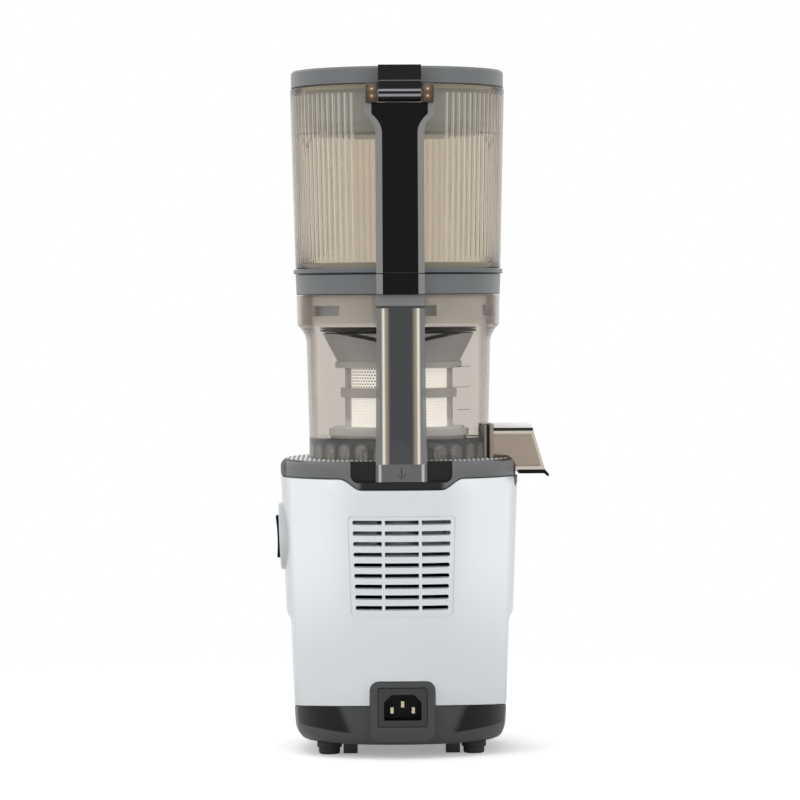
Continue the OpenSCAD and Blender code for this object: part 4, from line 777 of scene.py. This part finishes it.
foot = eased([[0, 0], [6.2, 0], [7, 0.8], [7, 4], [8.2, 4.8], [8.2, 8.3], [2.9, 8.3], [2.9, 13], [0, 13]], 0.5)
feet = [revolve(foot, 64, (x, y)) for x in (-48, 48) for y in (34, -48)]
shape("foot_pads", feet, FOOT, "base", ["rubber_feet"])


def opening(half, low, radius, steps):
    """Opening of that half width, with two rounded lower corners, that runs up past the deck."""
    corners = [[-half, low], [half, low], [half, 232], [-half, 232]]
    return eased(corners, [radius, radius, 0.1, 0.1], steps)


notch, tray = opening(NOTCH_HALF, NOTCH_FLOOR, NOTCH_ROUND, 8), opening(23.5, 183, 2, 6)
top_edge = ((188.5, 0), (190.5, 0), (191.6, 0.3), (192.6, 0.75), (193.5, 1.4), (194.4, 2.4), (195.1, 3.8), (195.4, 4.8),
            (DECK_TOP, 6), (DECK_TOP, 30))
deck_rings = [
    rim_ring(-2.6, 30), rim_ring(-2.6, 3.2), rim_ring(0.3, 3.2), rim_ring(0.3, 0.6), rim_ring(0.5, 0.2), rim_ring(1.0),
    *[base_ring(z, inset) for z, inset in top_edge]]
hub_r = 26
well = revolve([[0, 150], [hub_r + 0.05, 150], [hub_r + 0.05, 240], [0, 240]], 96)
hub = eased([[12, 192], [hub_r, 192], [hub_r, 200.5], [12, 200.5]], [0.2, 0.2, 1.0, 0.6])
shape("deck_moulding", [skin(np.stack(deck_rings))], DECK, "base", ["deck_cover"], 30,
      [[prism(notch, 62.6, 100, 0)], [prism(tray, -104, -62.4, 0, "x")], [well]], bevel=0.7)
shape("drive_hub", [revolve(hub, 96)], DECK, "base")

# Mains inlet: chamfered socket in a flange
socket = eased([[-12.3, 25.4], [12.3, 25.4], [12.3, 37.4], [7.3, 42.4], [-7.3, 42.4], [-12.3, 37.4]], 1.0, 4)
flange = prism(box_outline(32.2, 25.4, 1.2, (0, 33.9)), 69.6, 71.7)
housing = prism(box_outline(27.3, 20.1, 0.6, (0, 33.9)), 50, 69.7, 0.3)
shape("inlet_housing", [flange, housing], INLET, "base", ["inlet_body"], 30, [[prism(socket, 55.7, 80, 0)]])

ring = eased([[0, -4], [22.5, -4], [22.5, 2.6], [0, 2.6]], [0.1, 0.2, 1.6, 0.1], 6)
aperture = prism(box_outline(13.6, 31.6, 2.2), -8, 8, 0, "x")
shape("switch_ring", [at_switch(turned_out(revolve(ring, 128)))], SILVER, "base", ["switch_bezel"], 30,
      [[at_switch(aperture)]])

# Rocker: a slightly hollow face over a round back
up = np.linspace(-13.4, 13.4, 25)
face = np.stack([4.05 + 0.85 * (up / 14.2) ** 2, up], -1)
back = [[4.3, 14.2], [1.2, 14.2], [-2.5, 8.6], [-6.5, 6.5], [-9.6, 2.5],
        [-9.6, -2.5], [-6.5, -6.5], [-2.5, -8.6], [1.2, -14.2], [4.3, -14.2]]
key = prism(np.concatenate([face, back]), -6.3, 6.3, 0.7)
shape("rocker_key", [at_switch(key)], GLOSS_BLACK, "rocker", ["rocker"], 40)


# ---- Hopper ----
def hopper_wall():
    """Tapered tube whose inner wall carries 96 fine ribs, ((1 + cos) / 2) to the sixth power of the angle times 96,
    from just above the floor to under the plain rim band, and none within 25 degrees of the spine."""
    low, high, low_r, high_r, thick, rib_height = 321.65, 442.3, 68.8, 71.9, 2.6, 0.55
    turn = np.linspace(0, 2 * np.pi, RIBS * 8, endpoint=False)
    free = np.abs(((turn + np.pi / 2) % (2 * np.pi)) - np.pi) > math.radians(25)
    rib = ((1 + np.cos(turn * RIBS)) / 2) ** 6 * free
    outer = [(321.9, -0.5), (322.4, 0), (360, 0), (400, 0), (441.4, 0), (442, -0.25), (442.3, -0.8)]
    lips = [(442.3, -1.8), (442, -2.3)]
    inner = [(z, -thick) for z in (441.5, 437.6, 437.2, 436.6, 400, 360, 330.5, 329.9, 329.5, 322.4)]
    rings = []
    for z, step in outer + lips + inner + [(321.9, -2.4)]:
        r = low_r + (high_r - low_r) * (z - low) / (high - low) + step
        if step == -thick and 330 < z < RIBS_TOP:
            r = r - rib_height * rib
        rings.append(np.stack([r * np.cos(turn), r * np.sin(turn), np.full_like(turn, z)], -1))
    return skin(np.stack(rings), looped=True)


shape("hopper_wall", [hopper_wall()], HOPPER, "hopper", ["hopper_tube"], 50)

for node, name, width, body in [
    ("spine_frame", "spine_channel", 0.5, "hopper"), ("spine_cover", "spine_insert", 0.5, "hopper"),
    ("collar_cover", "collar_insert", 0.4, "hopper"), ("hinge_ears", "smoky_ears", 0.8, "hopper"),
    ("lid_strap", "hinge_strap", 0.6, "lid"), ("chute_cover", "chute_plate", 0.5, "bowl"),
    ("chute_lip", "chute_rim", 0.4, "bowl"), ("chute_seal", "chute_gasket", 0.5, "bowl"),
    ("spout_cap", "spout_stopper", 0.4, "cap"), ("collar_ring", "grey_collar", 0.4, "hopper"),
]:
    softened(node, name, width, body)


# ---- Stage ----
ground = Finish("floor_white")
px, py, _ = ground.xyz()
matt = ground.add("BsdfDiffuse", sockets={"Color": (0.86, 0.86, 0.86, 1)})
seen_directly = ground.add("LightPath", out=0)
glow = ground.add("Emission", sockets={"Color": (1, 1, 1, 1), "Strength": seen_directly * 0.32})
fade = ground.step(ground.reach(px, py), 300.0, 700.0)
white = ground.add("AddShader", sockets={0: matt, 1: glow})
ground.done(ground.mixed(fade, white, ground.add("BsdfTransparent")))
turn = np.linspace(0, 2 * np.pi, 96, endpoint=False)
disc = np.stack([0.8 * np.cos(turn), 0.8 * np.sin(turn), 0 * turn - 0.0002], -1)
floor_mesh = bpy.data.meshes.new("floor")
floor_mesh.from_pydata(disc.tolist(), [], [list(range(96))])
floor_mesh.materials.append(ground.material)
linked("floor", floor_mesh)

# White all round for the camera, reflections and what is seen through the clear pieces; a dimmer white for the rest
world = bpy.data.worlds.new("studio")
bpy.context.scene.world = world
world.use_nodes = True
sky = world.node_tree
sky.nodes.clear()
path, seen, fill = (sky.nodes.new("ShaderNode" + kind) for kind in ("LightPath", "Background", "Background"))
for background, strength in ((seen, 1.0), (fill, 0.42)):
    background.inputs["Color"].default_value = (1, 1, 1, 1)
    background.inputs["Strength"].default_value = strength
either = path.outputs["Is Camera Ray"]
for other in ("Is Glossy Ray", "Is Transmission Ray"):
    joined = sky.nodes.new("ShaderNodeMath")
    joined.operation = "MAXIMUM"
    sky.links.new(either, joined.inputs[0])
    sky.links.new(path.outputs[other], joined.inputs[1])
    either = joined.outputs[0]
mixed, world_out = sky.nodes.new("ShaderNodeMixShader"), sky.nodes.new("ShaderNodeOutputWorld")
for i, source in enumerate((either, fill.outputs[0], seen.outputs[0])):
    sky.links.new(source, mixed.inputs[i])
sky.links.new(mixed.outputs[0], world_out.inputs["Surface"])


def lamp(name, place, size, power):
    """Soft box at a place, turned to the middle of the juicer."""
    data = bpy.data.lights.new(name, "AREA")
    data.shape, data.size, data.size_y, data.energy = "RECTANGLE", size[0], size[1], power
    o = linked(name, data)
    o.visible_glossy = o.visible_transmission = False
    o.location = place
    o.rotation_euler = (Vector((0, 0, 0.22)) - Vector(place)).to_track_quat("-Z", "Y").to_euler()


lamp("box_left", (1.35, 1.0, 0.75), (0.7, 1.3), 11)
lamp("box_right", (-1.35, 0.9, 0.7), (0.7, 1.3), 10.2)
lamp("box_top", (0.1, 0.2, 1.7), (0.9, 0.9), 8)
lamp("box_front", (0.5, -1.5, 0.9), (0.9, 0.9), 11)

# The camera stands 2.63 m behind the auger axis, 301 mm above the floor, a little to the switch's side.
DISTANCE, EYE_HEIGHT, FOCAL_PX, PICTURE_PX, SENSOR = 2.63, 0.301, 3914, 800, 36
turn, pitch, roll = math.radians(1.2), math.radians(1.4636), math.radians(-0.325)
right = Vector((-math.cos(turn), math.sin(turn), 0))
ahead = (Vector((-math.sin(turn), -math.cos(turn), 0)) + right * (1.3 / FOCAL_PX)).normalized()
forward = ahead * math.cos(pitch) - Vector((0, 0, 1)) * math.sin(pitch)
side = forward.cross(Vector((0, 0, 1))).normalized()
up = side.cross(forward)
side, up = side * math.cos(roll) + up * math.sin(roll), up * math.cos(roll) - side * math.sin(roll)
camera = linked("camera", bpy.data.cameras.new("camera"))
camera.data.sensor_width, camera.data.lens = SENSOR, FOCAL_PX / PICTURE_PX * SENSOR
camera.data.clip_start, camera.data.clip_end = 0.1, 20
eye = Vector((AXIS[0] / MM + DISTANCE * math.sin(turn), AXIS[1] / MM + DISTANCE * math.cos(turn), EYE_HEIGHT))
camera.matrix_world = Matrix.Translation(eye) @ Matrix((side, up, -forward)).transposed().to_4x4()
bpy.context.scene.camera = camera
bpy.context.scene.view_settings.view_transform = "Standard"
bpy.context.scene.cycles.transparent_max_bounces = 24
bpy.context.scene.cycles.max_bounces = 24
bpy.context.scene.cycles.transmission_bounces = 20
